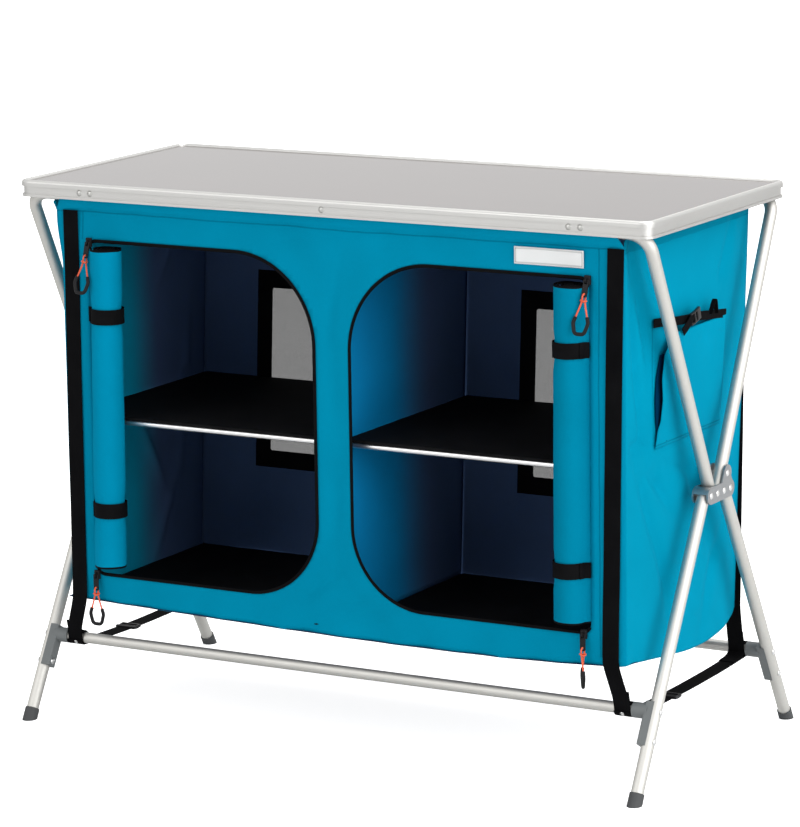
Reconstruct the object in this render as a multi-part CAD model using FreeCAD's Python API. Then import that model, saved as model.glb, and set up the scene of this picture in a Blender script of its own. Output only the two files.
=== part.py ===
import FreeCAD, Part
import math
import os

from FreeCAD import Placement, Rotation, Vector

# Driving dimensions of the cupboard, in millimetres and degrees.
# X runs along the front, the front faces -Y, Z is up and the floor is z = 0.
worktop_width = 1020.0
worktop_depth = 442.0
worktop_height = 800.0
end_frame_spacing = 996.0
tube_diameter = 18.0
tube_wall = 1.2
pivot_height = 389.5
pivot_pitch = 20.8
foot_spread = 502.0
bar_spread = 408.0
bar_below_top = 19.0
bar_height = worktop_height - bar_below_top
bow_bend_radius = 30.0
rail_height = 116.0
rail_diameter = 16.0
cabinet_width = 916.0
cabinet_shift = 7.0
cabinet_bottom_height = 182.0
front_wall_distance = 208.0
back_wall_foot_distance = 160.0
shelf_height = 451.0
cloth_thickness = 1.2
webbing_width = 25.0
webbing_thickness = 1.2

# Clearances and the one overrun that every cut uses.
running_clearance = 0.05
seat_clearance = 0.3
cut_overrun = 5.0

tube_radius = tube_diameter / 2
rail_radius = rail_diameter / 2
end_frame_x = end_frame_spacing / 2
bar_distance = bar_spread / 2
foot_distance = foot_spread / 2
cabinet_left = cabinet_shift - cabinet_width / 2
cabinet_right = cabinet_shift + cabinet_width / 2

# Pivots sit in one row in the bracket: lower front, upper front, upper back, lower back.
lower_front_pivot = -1.5 * pivot_pitch
upper_front_pivot = -0.5 * pivot_pitch
upper_back_pivot = 0.5 * pivot_pitch
lower_back_pivot = 1.5 * pivot_pitch

bow_run = bar_distance - upper_back_pivot
bow_rise = bar_height - pivot_height
bow_length = math.hypot(bow_run, bow_rise)
bow_lean = math.degrees(math.atan2(bow_run, bow_rise))
leg_run = foot_distance - lower_back_pivot
leg_length = math.hypot(leg_run, pivot_height)
leg_lean = math.degrees(math.atan2(leg_run, pivot_height))
leg_cos = pivot_height / leg_length
rail_along_leg = (pivot_height - rail_height) / leg_cos
rail_distance = foot_distance - leg_run * rail_height / pivot_height

right = Vector(1, 0, 0)
backward = Vector(0, 1, 0)
up = Vector(0, 0, 1)


def save(name, *solids):
    shape = solids[0] if len(solids) == 1 else Part.makeCompound(list(solids))
    shape.exportStep("parts/" + name + ".step")
    volume = sum(solid.Volume for solid in shape.Solids)
    print(name, len(shape.Solids), "solids", round(volume), "mm3", shape.isValid())


def box(x0, x1, y0, y1, z0, z1):
    return Part.makeBox(x1 - x0, y1 - y0, z1 - z0, Vector(x0, y0, z0))


def rod(radius, length, start, direction):
    return Part.makeCylinder(radius, length, start, direction)


def leaned(shape, degrees, y, z):
    """Turn a shape built upright about X, then set its pivot at y, z."""
    placed = shape.copy()
    placed.Placement = Placement(Vector(0, y, z), Rotation(right, degrees)).multiply(placed.Placement)
    return placed


def rounded_path(points, radii):
    """Straight runs joined by tangent arcs, one radius for each inner point."""
    edges = []
    start = points[0]
    for i in range(1, len(points) - 1):
        corner = points[i]
        before = (points[i - 1] - corner).normalize()
        after = (points[i + 1] - corner).normalize()
        half_angle = before.getAngle(after) / 2
        reach = radii[i - 1] / math.tan(half_angle)
        entry = corner + before * reach
        leave = corner + after * reach
        middle_way = (before + after).normalize()
        centre = corner + middle_way * (radii[i - 1] / math.sin(half_angle))
        crown = centre - middle_way * radii[i - 1]
        edges.append(Part.LineSegment(start, entry).toShape())
        edges.append(Part.Arc(entry, crown, leave).toShape())
        start = leave
    edges.append(Part.LineSegment(start, points[-1]).toShape())
    return Part.Wire(edges)


def swept(path, radius):
    start = path.Edges[0].valueAt(path.Edges[0].FirstParameter)
    heading = path.Edges[0].tangentAt(path.Edges[0].FirstParameter)
    ring = Part.Wire(Part.makeCircle(radius, start, heading))
    return path.makePipeShell([ring], True, False)


def polygon_face(points):
    return Part.Face(Part.makePolygon(points + [points[0]]))


# Rivets: a shank and two flat domed heads, used in brackets, elbows and the rim.
rivet_radius = 2.5
rivet_head_radius = 4.6
rivet_head_height = 1.8


def rivet(x0, x1, y, z):
    """One rivet along X whose heads bear on the planes x0 and x1."""
    crown = rivet_head_radius / math.sqrt(2)
    dome_radius = (rivet_head_radius ** 2 + rivet_head_height ** 2) / (2 * rivet_head_height)
    crown_height = math.sqrt(dome_radius ** 2 - crown ** 2) - dome_radius + rivet_head_height
    domes = []
    for face_x, side in ((x0, -1), (x1, 1)):
        tip = Vector(face_x + side * rivet_head_height, 0, 0)
        rim = Vector(face_x, 0, rivet_head_radius)
        domes.append((tip, Vector(face_x + side * crown_height, 0, crown), rim))
    first, last = domes
    neck_0 = Vector(x0, 0, rivet_radius)
    neck_1 = Vector(x1, 0, rivet_radius)
    edges = [Part.Arc(*first).toShape(), Part.LineSegment(first[2], neck_0).toShape(),
             Part.LineSegment(neck_0, neck_1).toShape(), Part.LineSegment(neck_1, last[2]).toShape(),
             Part.Arc(last[2], last[1], last[0]).toShape(), Part.LineSegment(last[0], first[0]).toShape()]
    return Part.Face(Part.Wire(edges)).revolve(Vector(0, 0, 0), right, 360).translated(Vector(0, y, z))


def rivet_hole(x0, x1, y, z):
    start = Vector(x0 - cut_overrun, y, z)
    return rod(rivet_radius + running_clearance, x1 - x0 + 2 * cut_overrun, start, right)


# Centre brackets: two plates joined by a web in front and one behind.
bracket_gap = 20.0
bracket_plate = 2.5
bracket_band_radius = 12.0
ear_rivet_distance = 25.5
web_front_angles = (76.0, 164.0)
web_back_angles = (16.0, 60.0)
bracket_half = bracket_gap / 2 + bracket_plate
ear_run = ear_rivet_distance * bow_run / bow_length
ear_rise = ear_rivet_distance * bow_rise / bow_length
ear_y = upper_back_pivot + ear_run
ear_z = pivot_height + ear_rise


def bracket_outline():
    """The side plate: a band along the four pivots with an ear up the back bow."""
    centres = [(lower_front_pivot, pivot_height), (lower_back_pivot, pivot_height), (ear_y, ear_z)]
    discs = [rod(bracket_band_radius, bracket_plate, Vector(0, y, z), right) for y, z in centres]
    band = box(0, bracket_plate, lower_front_pivot, lower_back_pivot,
               pivot_height - bracket_band_radius, pivot_height + bracket_band_radius)
    lean_x = -bow_rise / bow_length * bracket_band_radius
    lean_z = bow_run / bow_length * bracket_band_radius
    corners = [
        Vector(0, upper_back_pivot + lean_x, pivot_height),
        Vector(0, ear_y + lean_x, ear_z + lean_z),
        Vector(0, ear_y - lean_x, ear_z - lean_z),
        Vector(0, lower_back_pivot + bracket_band_radius, pivot_height),
    ]
    ear = polygon_face(corners).extrude(right * bracket_plate)
    plate = band
    for piece in discs + [ear]:
        plate = plate.fuse(piece)
    return plate.removeSplitter()


def bracket_web(y, angles):
    ring = rod(bracket_band_radius, bracket_gap, Vector(-bracket_gap / 2, y, pivot_height), right)
    ring = ring.cut(rod(bracket_band_radius - bracket_plate, bracket_gap + 2 * cut_overrun,
                        Vector(-bracket_gap / 2 - cut_overrun, y, pivot_height), right))
    reach = 3 * bracket_band_radius
    first, last = [math.radians(a) for a in angles]
    middle = (first + last) / 2
    points = [Vector(-bracket_gap / 2, y, pivot_height)]
    for a in (first, middle, last):
        points.append(Vector(-bracket_gap / 2, y + reach * math.cos(a), pivot_height + reach * math.sin(a)))
    wedge = polygon_face(points).extrude(right * bracket_gap)
    return ring.common(wedge)


def bracket(x):
    plate = bracket_outline()
    inner = plate.translated(Vector(-bracket_half, 0, 0))
    outer = plate.translated(Vector(bracket_gap / 2, 0, 0))
    solid = inner.fuse(bracket_web(lower_front_pivot, web_front_angles))
    solid = solid.fuse(bracket_web(lower_back_pivot, web_back_angles)).fuse(outer)
    for y, z in bracket_rivet_places():
        solid = solid.cut(rivet_hole(-bracket_half, bracket_half, y, z))
    return solid.removeSplitter().translated(Vector(x, 0, 0))


def bracket_rivet_places():
    row = (lower_front_pivot, upper_front_pivot, upper_back_pivot, lower_back_pivot)
    return [(y, pivot_height) for y in row] + [(ear_y, ear_z)]


def bracket_rivets():
    solids = []
    for x in (-end_frame_x, end_frame_x):
        for y, z in bracket_rivet_places():
            solids.append(rivet(x - bracket_half, x + bracket_half, y, z))
    return solids


# Bows: one bent tube each, two legs and the bar across the top.
def round_end(solid, x):
    """Round the hinge end of a tube about its pivot, which lies at y = z = 0."""
    reach = tube_radius + cut_overrun
    block = box(x - reach, x + reach, -reach, reach, -reach, 0)
    block = block.cut(rod(tube_radius, 2 * reach, Vector(x - reach, 0, 0), right))
    return solid.cut(block)


def bow(lean, y):
    low = -tube_radius
    points = [Vector(-end_frame_x, 0, low), Vector(-end_frame_x, 0, bow_length),
              Vector(end_frame_x, 0, bow_length), Vector(end_frame_x, 0, low)]
    path = rounded_path(points, [bow_bend_radius, bow_bend_radius])
    solid = swept(path, tube_radius).cut(swept(path, tube_radius - tube_wall))
    for x in (-end_frame_x, end_frame_x):
        solid = round_end(solid, x)
        solid = solid.cut(rivet_hole(x - tube_radius, x + tube_radius, 0, 0))
    return leaned(solid, lean, y, pivot_height)


def back_bow():
    solid = bow(-bow_lean, upper_back_pivot)
    for x in (-end_frame_x, end_frame_x):
        solid = solid.cut(rivet_hole(x - tube_radius, x + tube_radius, ear_y, ear_z))
    return solid


# Lower legs, built hanging down from the pivot at the origin, then leaned.
foot_cap_wall = 1.5
foot_cap_length = 17.0
leg_end_gap = 9.0
elbow_wall = 5.0
elbow_rise = 13.0
elbow_drop = 50.0
elbow_boss_radius = 11.0
elbow_boss_end = 32.0
elbow_width = 19.0
rail_end_gap = 18.0
lower_rivet_drop = 42.0


def leg_rivet_drops():
    return (rail_along_leg, rail_along_leg + lower_rivet_drop)


def elbow_inner_face():
    return end_frame_x - tube_radius - elbow_wall


def leg(x, lean, y):
    length = leg_length - leg_end_gap
    top = Vector(x, 0, tube_radius)
    solid = rod(tube_radius, length + tube_radius, top, -up)
    solid = solid.cut(rod(tube_radius - tube_wall, length + tube_radius + 2 * cut_overrun,
                          top + up * cut_overrun, -up))
    turned = solid.mirror(Vector(0, 0, 0), up)
    solid = round_end(turned, x).mirror(Vector(0, 0, 0), up)
    for drop in (0,) + leg_rivet_drops():
        solid = solid.cut(rivet_hole(x - tube_radius, x + tube_radius, 0, -drop))
    return leaned(solid, lean, y, pivot_height)


def elbow(side, lean, y):
    """Plastic saddle inside the leg with a socket that takes the rail's end."""
    low = -rail_along_leg - elbow_drop
    high = -rail_along_leg + elbow_rise
    saddle = box(elbow_inner_face(), end_frame_x - seat_clearance, -elbow_width / 2, elbow_width / 2,
                 low, high)
    inner_edges = [e for e in saddle.Edges if e.BoundBox.XMax < elbow_inner_face() + tube_wall]
    saddle = saddle.makeFillet(elbow_wall / 2, inner_edges)
    boss = rod(elbow_boss_radius, elbow_boss_end - tube_radius,
               Vector(end_frame_x - elbow_boss_end, 0, -rail_along_leg), right)
    solid = saddle.fuse(boss)
    solid = solid.cut(rod(tube_radius + running_clearance, high - low + 2 * cut_overrun,
                          Vector(end_frame_x, 0, low - cut_overrun), up))
    solid = solid.cut(rod(rail_radius + running_clearance, elbow_boss_end,
                          Vector(end_frame_x - rail_end_gap, 0, -rail_along_leg), -right))
    for drop in leg_rivet_drops():
        solid = solid.cut(rivet_hole(elbow_inner_face(), end_frame_x, 0, -drop))
    if side < 0:
        solid = solid.mirror(Vector(0, 0, 0), right)
    return leaned(solid, lean, y, pivot_height)


def rail(y):
    reach = end_frame_x - rail_end_gap - seat_clearance
    start = Vector(-reach, y, rail_height)
    bore = rod(rail_radius - tube_wall, 2 * reach, start, right)
    return rod(rail_radius, 2 * reach, start, right).cut(bore)


def leg_rivets(lean, y):
    solids = []
    for side in (-1, 1):
        for drop in leg_rivet_drops():
            inner = elbow_inner_face()
            if drop == rail_along_leg:
                inner = end_frame_x - rail_end_gap
            outer = end_frame_x + tube_radius
            solid = rivet(inner, outer, 0, -drop)
            if side < 0:
                solid = solid.mirror(Vector(0, 0, 0), right)
            solids.append(leaned(solid, lean, y, pivot_height))
    return solids


def foot_cap(x, lean, y):
    outer = tube_radius + running_clearance + foot_cap_wall
    top = Vector(x, 0, -leg_length + foot_cap_length)
    solid = rod(outer, foot_cap_length + foot_cap_wall + tube_radius, top, -up)
    bore = rod(tube_radius + running_clearance, foot_cap_length - leg_end_gap + cut_overrun,
               top + up * cut_overrun, -up)
    solid = leaned(solid.cut(bore), lean, y, pivot_height)
    reach = 3 * outer
    ground = box(x - reach, x + reach, -2 * foot_distance, 2 * foot_distance, -reach, 0)
    return solid.cut(ground)


# Worktop: a bent rim with a bead on top and a lip below, and the glossy panel in it.
rim_height = 24.0
rim_corner_radius = 18.0
bead_width = 9.0
bead_rounding = 4.2
rim_inset = 3.0
rim_wall = 2.0
lip_height = 3.5
lip_inset = 0.6
ledge_width = 15.0
ledge_thickness = 1.9
panel_thickness = 3.4
panel_below_bead = 2.8
rim_rivet_drop = 14.0
rim_rivet_height = worktop_height - rim_rivet_drop
rim_rivet_distance = 395.0
rim_rivet_pitch = 18.0
rim_bottom = worktop_height - rim_height
panel_top = worktop_height - panel_below_bead
panel_bottom = panel_top - panel_thickness


def rounded_slab(inset, z0, z1):
    """A plate of the worktop's outline, set in by the given amount."""
    width = worktop_width - 2 * inset
    depth = worktop_depth - 2 * inset
    slab = box(-width / 2, width / 2, -depth / 2, depth / 2, z0, z1)
    upright = [e for e in slab.Edges if e.BoundBox.ZLength > (z1 - z0) / 2]
    return slab.makeFillet(rim_corner_radius - inset, upright)


def rim_ring(outer_inset, inner_inset, z0, z1):
    hole = rounded_slab(inner_inset, z0 - cut_overrun, z1 + cut_overrun)
    return rounded_slab(outer_inset, z0, z1).cut(hole)


def worktop_rim():
    bead = rim_ring(0, bead_width, worktop_height - bead_width, worktop_height)
    top_edges = [e for e in bead.Edges if e.BoundBox.ZMin > worktop_height - bead_rounding]
    bead = bead.makeFillet(bead_rounding, top_edges)
    wall = rim_ring(rim_inset, rim_inset + rim_wall, rim_bottom, worktop_height - bead_width + rim_wall)
    lip = rim_ring(lip_inset, rim_inset + rim_wall, rim_bottom, rim_bottom + lip_height)
    ledge = rim_ring(rim_inset, ledge_width, panel_bottom - ledge_thickness, panel_bottom)
    solid = bead.fuse(wall).fuse(lip).fuse(ledge)
    for x, side in rim_rivet_places():
        hole = rivet_hole(-worktop_depth, worktop_depth, 0, rim_rivet_height)
        hole = hole.common(box(0, worktop_depth, -rim_wall * 2, rim_wall * 2, 0, worktop_height))
        hole.rotate(Vector(0, 0, 0), up, 90 * side)
        solid = solid.cut(hole.translated(Vector(x, 0, 0)))
    return solid.removeSplitter()


def rim_rivet_places():
    places = []
    for side in (-1, 1):
        places.append((0, side))
        for end in (-1, 1):
            for step in (-1, 1):
                places.append((end * rim_rivet_distance + step * rim_rivet_pitch / 2, side))
    return places


def rim_rivets():
    solids = []
    inner = worktop_depth / 2 - rim_inset - rim_wall
    for x, side in rim_rivet_places():
        solid = rivet(inner, inner + rim_wall, 0, rim_rivet_height)
        solid.rotate(Vector(0, 0, 0), up, 90 * side)
        solids.append(solid.translated(Vector(x, 0, 0)))
    return solids


def worktop_panel():
    return rounded_slab(bead_width + seat_clearance, panel_bottom, panel_top)


# Cloth walls that hang from sleeves over the two bars.
sleeve_inner = tube_radius + seat_clearance
sleeve_outer = sleeve_inner + cloth_thickness
hem_depth = 21.0
hem_corner = 18.0
back_sheet_offset = 5.0
door_outer = 405.0
door_inner = 28.0
door_top_drop = 64.0
door_top_height = bar_height - door_top_drop
door_bottom_height = 222.0
door_top_radius = 130.0
door_bottom_radius = 85.0
door_outer_radius = 14.0
front_outer = -front_wall_distance
front_inner = front_outer + cloth_thickness


def closed_face(points, radii):
    """A face whose corners are rounded, started in the middle of its last side."""
    start = (points[-1] + points[0]) / 2
    return Part.Face(rounded_path([start] + points + [start], radii))


def door_face(side, grow):
    outer = cabinet_shift + side * (door_outer + grow)
    inner = cabinet_shift + side * (door_inner - grow)
    top = door_top_height + grow
    low = door_bottom_height - grow
    points = [Vector(inner, 0, top), Vector(inner, 0, low), Vector(outer, 0, low), Vector(outer, 0, top)]
    radii = [door_top_radius + grow, door_bottom_radius + grow,
             door_outer_radius + grow, door_outer_radius + grow]
    return closed_face(points, radii)


def bar_sleeve(y):
    start = Vector(cabinet_left + hem_corner, y, bar_height)
    reach = cabinet_width - 2 * hem_corner
    return rod(sleeve_outer, reach, start, right), rod(sleeve_inner, reach, start, right)


def hem_corners(y):
    """The cloth beside each end of a hem, cut away on the slant."""
    low = bar_height - hem_depth
    high = bar_height + sleeve_outer
    pieces = []
    for x, side in ((cabinet_left, 1), (cabinet_right, -1)):
        points = [Vector(x, 0, low), Vector(x + side * hem_corner, 0, high),
                  Vector(x - side * hem_corner, 0, high)]
        face = polygon_face(points).translated(Vector(0, y - hem_corner, 0))
        pieces.append(face.extrude(backward * 2 * hem_corner))
    return pieces


def front_wall():
    top = bar_height - tube_radius
    sheet = box(cabinet_left, cabinet_right, front_outer, front_inner, cabinet_bottom_height, top)
    hem = box(cabinet_left, cabinet_right, front_outer - cloth_thickness, front_outer,
              bar_height - hem_depth, top)
    outer, inner = bar_sleeve(-bar_distance)
    solid = sheet.fuse(hem).fuse(outer).cut(inner)
    for piece in hem_corners(-bar_distance):
        solid = solid.cut(piece)
    for side in (-1, 1):
        door = door_face(side, 0).translated(Vector(0, front_outer - cut_overrun, 0))
        solid = solid.cut(door.extrude(backward * 2 * cut_overrun))
    return solid.removeSplitter()


# The back wall slants in from the bar to the foot of the cabinet.
back_sheet_top = bar_height - tube_radius
back_sheet_top_distance = bar_distance - back_sheet_offset


def back_inner(z):
    """Where the inner face of the back wall stands at a height."""
    share = (z - cabinet_bottom_height) / (back_sheet_top - cabinet_bottom_height)
    return back_wall_foot_distance + share * (back_sheet_top_distance - back_wall_foot_distance)


def back_slab(near, far, x0, x1, z0, z1):
    """A slab parallel to the back wall, between two offsets from its inner face."""
    points = [Vector(x0, back_inner(z0) + near, z0), Vector(x0, back_inner(z0) + far, z0),
              Vector(x0, back_inner(z1) + far, z1), Vector(x0, back_inner(z1) + near, z1)]
    return polygon_face(points).extrude(right * (x1 - x0))


window_outer = 348.0
window_inner = 105.0
window_top_drop = 176.5
window_top_height = bar_height - window_top_drop
window_bottom_height = 329.0
window_radius = 16.0
window_border = 13.0
window_border_thickness = 1.0
mesh_thickness = 0.6


def window_prism(side, grow):
    outer = cabinet_shift + side * (window_outer + grow)
    inner = cabinet_shift + side * (window_inner - grow)
    top = window_top_height + grow
    low = window_bottom_height - grow
    points = [Vector(inner, 0, top), Vector(inner, 0, low), Vector(outer, 0, low), Vector(outer, 0, top)]
    return closed_face(points, [window_radius + grow] * 4).extrude(backward * 2 * bar_distance)


def back_wall():
    sheet = back_slab(0, cloth_thickness, cabinet_left, cabinet_right, cabinet_bottom_height, back_sheet_top)
    hem = back_slab(cloth_thickness, 2 * cloth_thickness, cabinet_left, cabinet_right,
                    bar_height - hem_depth, back_sheet_top)
    outer, inner = bar_sleeve(bar_distance)
    solid = sheet.fuse(hem).fuse(outer).cut(inner)
    for piece in hem_corners(bar_distance):
        solid = solid.cut(piece)
    for side in (-1, 1):
        solid = solid.cut(window_prism(side, 0))
    return solid.removeSplitter()


def window_part(side, near, far, grow):
    slab = back_slab(near, far, cabinet_left, cabinet_right, cabinet_bottom_height, back_sheet_top)
    return slab.common(window_prism(side, grow))


def window_border_ring(side):
    ring = window_part(side, -window_border_thickness, 0, window_border)
    return ring.cut(window_prism(side, -window_border))


def window_mesh(side):
    return window_part(side, 0, mesh_thickness, -seat_clearance)


# Zips follow the door openings but stay off the outer edge, where the doors are sewn on.
zip_outside = 1.5
zip_inside = 3.0
zip_thickness = 1.4
zip_turn = 9.0
zip_face = front_outer - zip_thickness


def zip_tape(side):
    band = door_face(side, zip_outside).cut(door_face(side, -zip_inside))
    solid = band.translated(Vector(0, front_outer, 0)).extrude(-backward * zip_thickness)
    edge = cabinet_shift + side * door_outer
    cutter = box(edge - zip_turn, edge + zip_turn, zip_face - cut_overrun, front_outer + cut_overrun,
                 door_bottom_height + zip_turn, door_top_height - zip_turn)
    return solid.cut(cutter)


# Doors rolled up and held by two straps each, at the outer edge of the openings.
roll_radius = 25.2
roll_waist_radius = 23.4
roll_inset = 32.5
roll_axis_distance = 210.0
roll_end_drop = 10.0
roll_end_rise = 15.0
roll_top_height = door_top_height - roll_end_drop
roll_bottom_height = door_bottom_height + roll_end_rise
roll_end_rounding = 3.0
roll_strap_height = 22.0
left_upper_strap_drop = 98.0
left_lower_strap_rise = 86.0
right_upper_strap_drop = 89.0
right_lower_strap_rise = 75.0
roll_waist_slope = 18.0


def roll_strap_heights(side):
    """The heights of the middles of a roll's two straps, the lower one first."""
    if side < 0:
        rise, drop = left_lower_strap_rise, left_upper_strap_drop
    else:
        rise, drop = right_lower_strap_rise, right_upper_strap_drop
    return roll_bottom_height + rise, roll_top_height - drop


def roll_place(side):
    return Vector(cabinet_shift + side * (door_outer - roll_inset), -roll_axis_distance, 0)


def door_roll(side):
    """A roll of cloth drawn in a little under each strap."""
    outline = [Vector(0, 0, roll_bottom_height),
               Vector(roll_radius - roll_end_rounding, 0, roll_bottom_height),
               Vector(roll_radius, 0, roll_bottom_height + roll_end_rounding)]
    for height in roll_strap_heights(side):
        half = roll_strap_height / 2 + seat_clearance
        outline.append(Vector(roll_radius, 0, height - half - roll_waist_slope))
        outline.append(Vector(roll_waist_radius, 0, height - half))
        outline.append(Vector(roll_waist_radius, 0, height + half))
        outline.append(Vector(roll_radius, 0, height + half + roll_waist_slope))
    outline.append(Vector(roll_radius, 0, roll_top_height - roll_end_rounding))
    outline.append(Vector(roll_radius - roll_end_rounding, 0, roll_top_height))
    outline.append(Vector(0, 0, roll_top_height))
    solid = polygon_face(outline).revolve(Vector(0, 0, 0), up, 360)
    return solid.translated(roll_place(side))


def roll_straps():
    solids = []
    inner = roll_waist_radius + seat_clearance
    for side in (-1, 1):
        for height in roll_strap_heights(side):
            start = roll_place(side) + up * (height - roll_strap_height / 2)
            ring = rod(inner + webbing_thickness, roll_strap_height, start, up)
            solids.append(ring.cut(rod(inner, roll_strap_height, start, up)))
    return solids


# Zip sliders, and pulls made of a tab, a hitched cord and a moulded grip.
slider_width = 9.0
slider_length = 13.0
slider_height = 4.0
slider_rounding = 1.5
left_top_slider_inset = 3.5
left_bottom_slider_inset = 1.0
right_top_slider_inset = 1.0
right_bottom_slider_inset = 10.0
slider_below_top = 3.0
slider_below_bottom = 0.5
bail_radius = 3.0
bail_wire_radius = 0.8
bail_leg = 1.3
pivot_y = zip_face - slider_height - bail_leg
tab_half_width = 4.0
tab_half_thickness = 0.9
tab_top_web = 0.9
tab_length = 23.0
tab_slot_length = 5.2
tab_slot_half_width = 2.2
eye_radius = 2.0
eye_web = 2.0
cord_radius = 1.2
cord_bend_radius = 2.4
pull_top_tilt = 18.0
pull_turn = 120.0
grip_radius = 2.6
grip_bend_radius = 6.0
grip_side_bend_radius = 9.0

# Each pull is named, with the place of its slider on the zip, its tilt and its turn.
pulls = (
    ("left_top_pull", cabinet_shift - door_outer + left_top_slider_inset,
     door_top_height - slider_below_top, pull_top_tilt, 0),
    ("left_bottom_pull", cabinet_shift - door_outer + left_bottom_slider_inset,
     door_bottom_height - slider_below_bottom, 0, 0),
    ("right_top_pull", cabinet_shift + door_outer - right_top_slider_inset,
     door_top_height - slider_below_top, pull_top_tilt, 0),
    ("right_bottom_pull", cabinet_shift + door_outer - right_bottom_slider_inset,
     door_bottom_height - slider_below_bottom, 0, pull_turn),
)

# The cord's route from one end of the grip, through the tab's eye, to the other end.
cord_route = (
    Vector(-8.6, 0, -50.0),
    Vector(-1.7, 0, -29.5),
    Vector(-1.3, -2.9, -23.6),
    Vector(0, -3.0, -18.4),
    Vector(0, 3.0, -18.4),
    Vector(1.3, 2.9, -23.6),
    Vector(1.7, 0, -29.5),
    Vector(8.6, 0, -50.0),
)
cord_radii = (8.0, 4.0, 2.5, 2.5, 4.0, 8.0)
hitch_drop = 28.3
hitch_ring_radius = 4.3
grip_run_share = 0.4
grip_low_drop = 73.5
grip_low_reach = 7.2


def zip_sliders():
    solids = []
    for name, x, z, tilt, turn in pulls:
        body = box(x - slider_width / 2, x + slider_width / 2, zip_face - slider_height, zip_face,
                   z - slider_length / 2, z + slider_length / 2)
        front_edges = [e for e in body.Edges if e.BoundBox.YMax < zip_face - slider_rounding]
        body = body.makeFillet(slider_rounding, front_edges)
        root = zip_face - slider_height + slider_rounding
        crown = pivot_y - bail_radius
        points = [Vector(x, root, z + bail_radius), Vector(x, crown, z + bail_radius),
                  Vector(x, crown, z - bail_radius), Vector(x, root, z - bail_radius)]
        path = rounded_path(points, [bail_radius - running_clearance] * 2)
        solids.append(body.fuse(swept(path, bail_wire_radius)).removeSplitter())
    return solids


def placed_pull(shape, x, z, tilt):
    shape = shape.copy()
    shape.Placement = Placement(Vector(x, pivot_y, z), Rotation(right, -tilt)).multiply(shape.Placement)
    return shape


def turned(point, degrees):
    """A point of the loop, carried round the pull's long axis."""
    return Rotation(up, degrees).multVec(point)


def pull_tab():
    half = tab_half_width
    slab = box(-half, half, -tab_half_thickness, tab_half_thickness, -tab_length, tab_top_web)
    sharp = [e for e in slab.Edges if e.BoundBox.YLength > tab_half_thickness]
    slab = slab.makeFillet(half / 2, [e for e in sharp if e.BoundBox.ZMax < 0])
    slot = box(-tab_slot_half_width, tab_slot_half_width, -cut_overrun, cut_overrun,
               -tab_slot_length, -tab_top_web)
    eye_drop = tab_length - eye_web - eye_radius
    eye = rod(eye_radius, 2 * cut_overrun, Vector(0, -cut_overrun, -eye_drop), backward)
    return slab.cut(slot).cut(eye)


def pull_cord(turn):
    route = [turned(cord_route[0], turn)] + list(cord_route[1:-1]) + [turned(cord_route[-1], turn)]
    return swept(rounded_path(route, cord_radii), cord_radius)


def pull_hitch():
    return Part.makeTorus(hitch_ring_radius, cord_radius, Vector(0, 0, -hitch_drop), up)


def pull_grip(turn):
    """A bent tube whose ends continue the two strands of the cord."""
    points = []
    for end, neck, side in ((cord_route[0], cord_route[1], -1), (cord_route[-1], cord_route[-2], 1)):
        start = turned(end, turn)
        low = turned(Vector(side * grip_low_reach, 0, -grip_low_drop), turn)
        points.append([start, start + (start - neck) * grip_run_share, low])
    points = points[0] + points[1][::-1]
    radii = [grip_side_bend_radius, grip_bend_radius, grip_bend_radius, grip_side_bend_radius]
    return swept(rounded_path(points, radii), grip_radius)


# Sewn trim on the front, and the rods under the shelves.
label_left = 298.0
label_right = 404.0
label_drop = 52.0
label_height = 24.0
label_low = bar_height - label_drop
label_top = label_low + label_height
label_thickness = 0.6
shelf_rod_radius = 4.0
rod_inset = 28.0
shelf_thickness = 4.0
shelf_front_distance = 184.0
shelf_back_gap = 1.5
compartment_gap = 4.0
strap_left_x = -431.0
strap_right_x = 452.0
left_strap_top_inset = 24.7
left_strap_fold_inset = 20.8
left_strap_rail_inset = 1.4
right_strap_top_inset = 12.5
right_strap_fold_inset = 23.5
right_strap_rail_inset = 13.0
strap_settles_above = 16.0
strap_top_drop = 22.0
strap_top_height = bar_height - strap_top_drop
ring_inner = rail_radius + seat_clearance
ring_outer = ring_inner + webbing_thickness

# The middle of each front strap, at its top, at the foot of the wall and on the rail.
front_strap_places = (
    (cabinet_left + left_strap_top_inset, cabinet_left + left_strap_fold_inset,
     cabinet_left + left_strap_rail_inset),
    (cabinet_right - right_strap_top_inset, cabinet_right - right_strap_fold_inset,
     cabinet_right - right_strap_rail_inset),
)


def compartment_ends(side):
    """Where the boards and rods of one compartment end, left and right."""
    wall = cabinet_shift + side * (cabinet_width / 2 - cloth_thickness - compartment_gap)
    middle = cabinet_shift + side * compartment_gap
    return min(wall, middle), max(wall, middle)


def front_label():
    return box(label_left, label_right, front_outer - label_thickness, front_outer, label_low, label_top)


def shelf_rod(side):
    x0, x1 = compartment_ends(side)
    height = shelf_height - seat_clearance - shelf_rod_radius
    return rod(shelf_rod_radius, x1 - x0, Vector(x0, front_outer + rod_inset, height), right)


def webbing_run(start, end):
    """A flat strap between two points on its middle line, level from edge to edge."""
    half = right * (webbing_width / 2)
    side = Vector(0, start.z - end.z, end.y - start.y).normalize() * webbing_thickness
    face = polygon_face([start - half, start + half, end + half, end - half])
    return face.translated(-side / 2).extrude(side)


def rail_ring(inner, outer, x, y):
    start = Vector(x - webbing_width / 2, y, rail_height)
    return rod(outer, webbing_width, start, right).cut(rod(inner, webbing_width, start, right))


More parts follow.
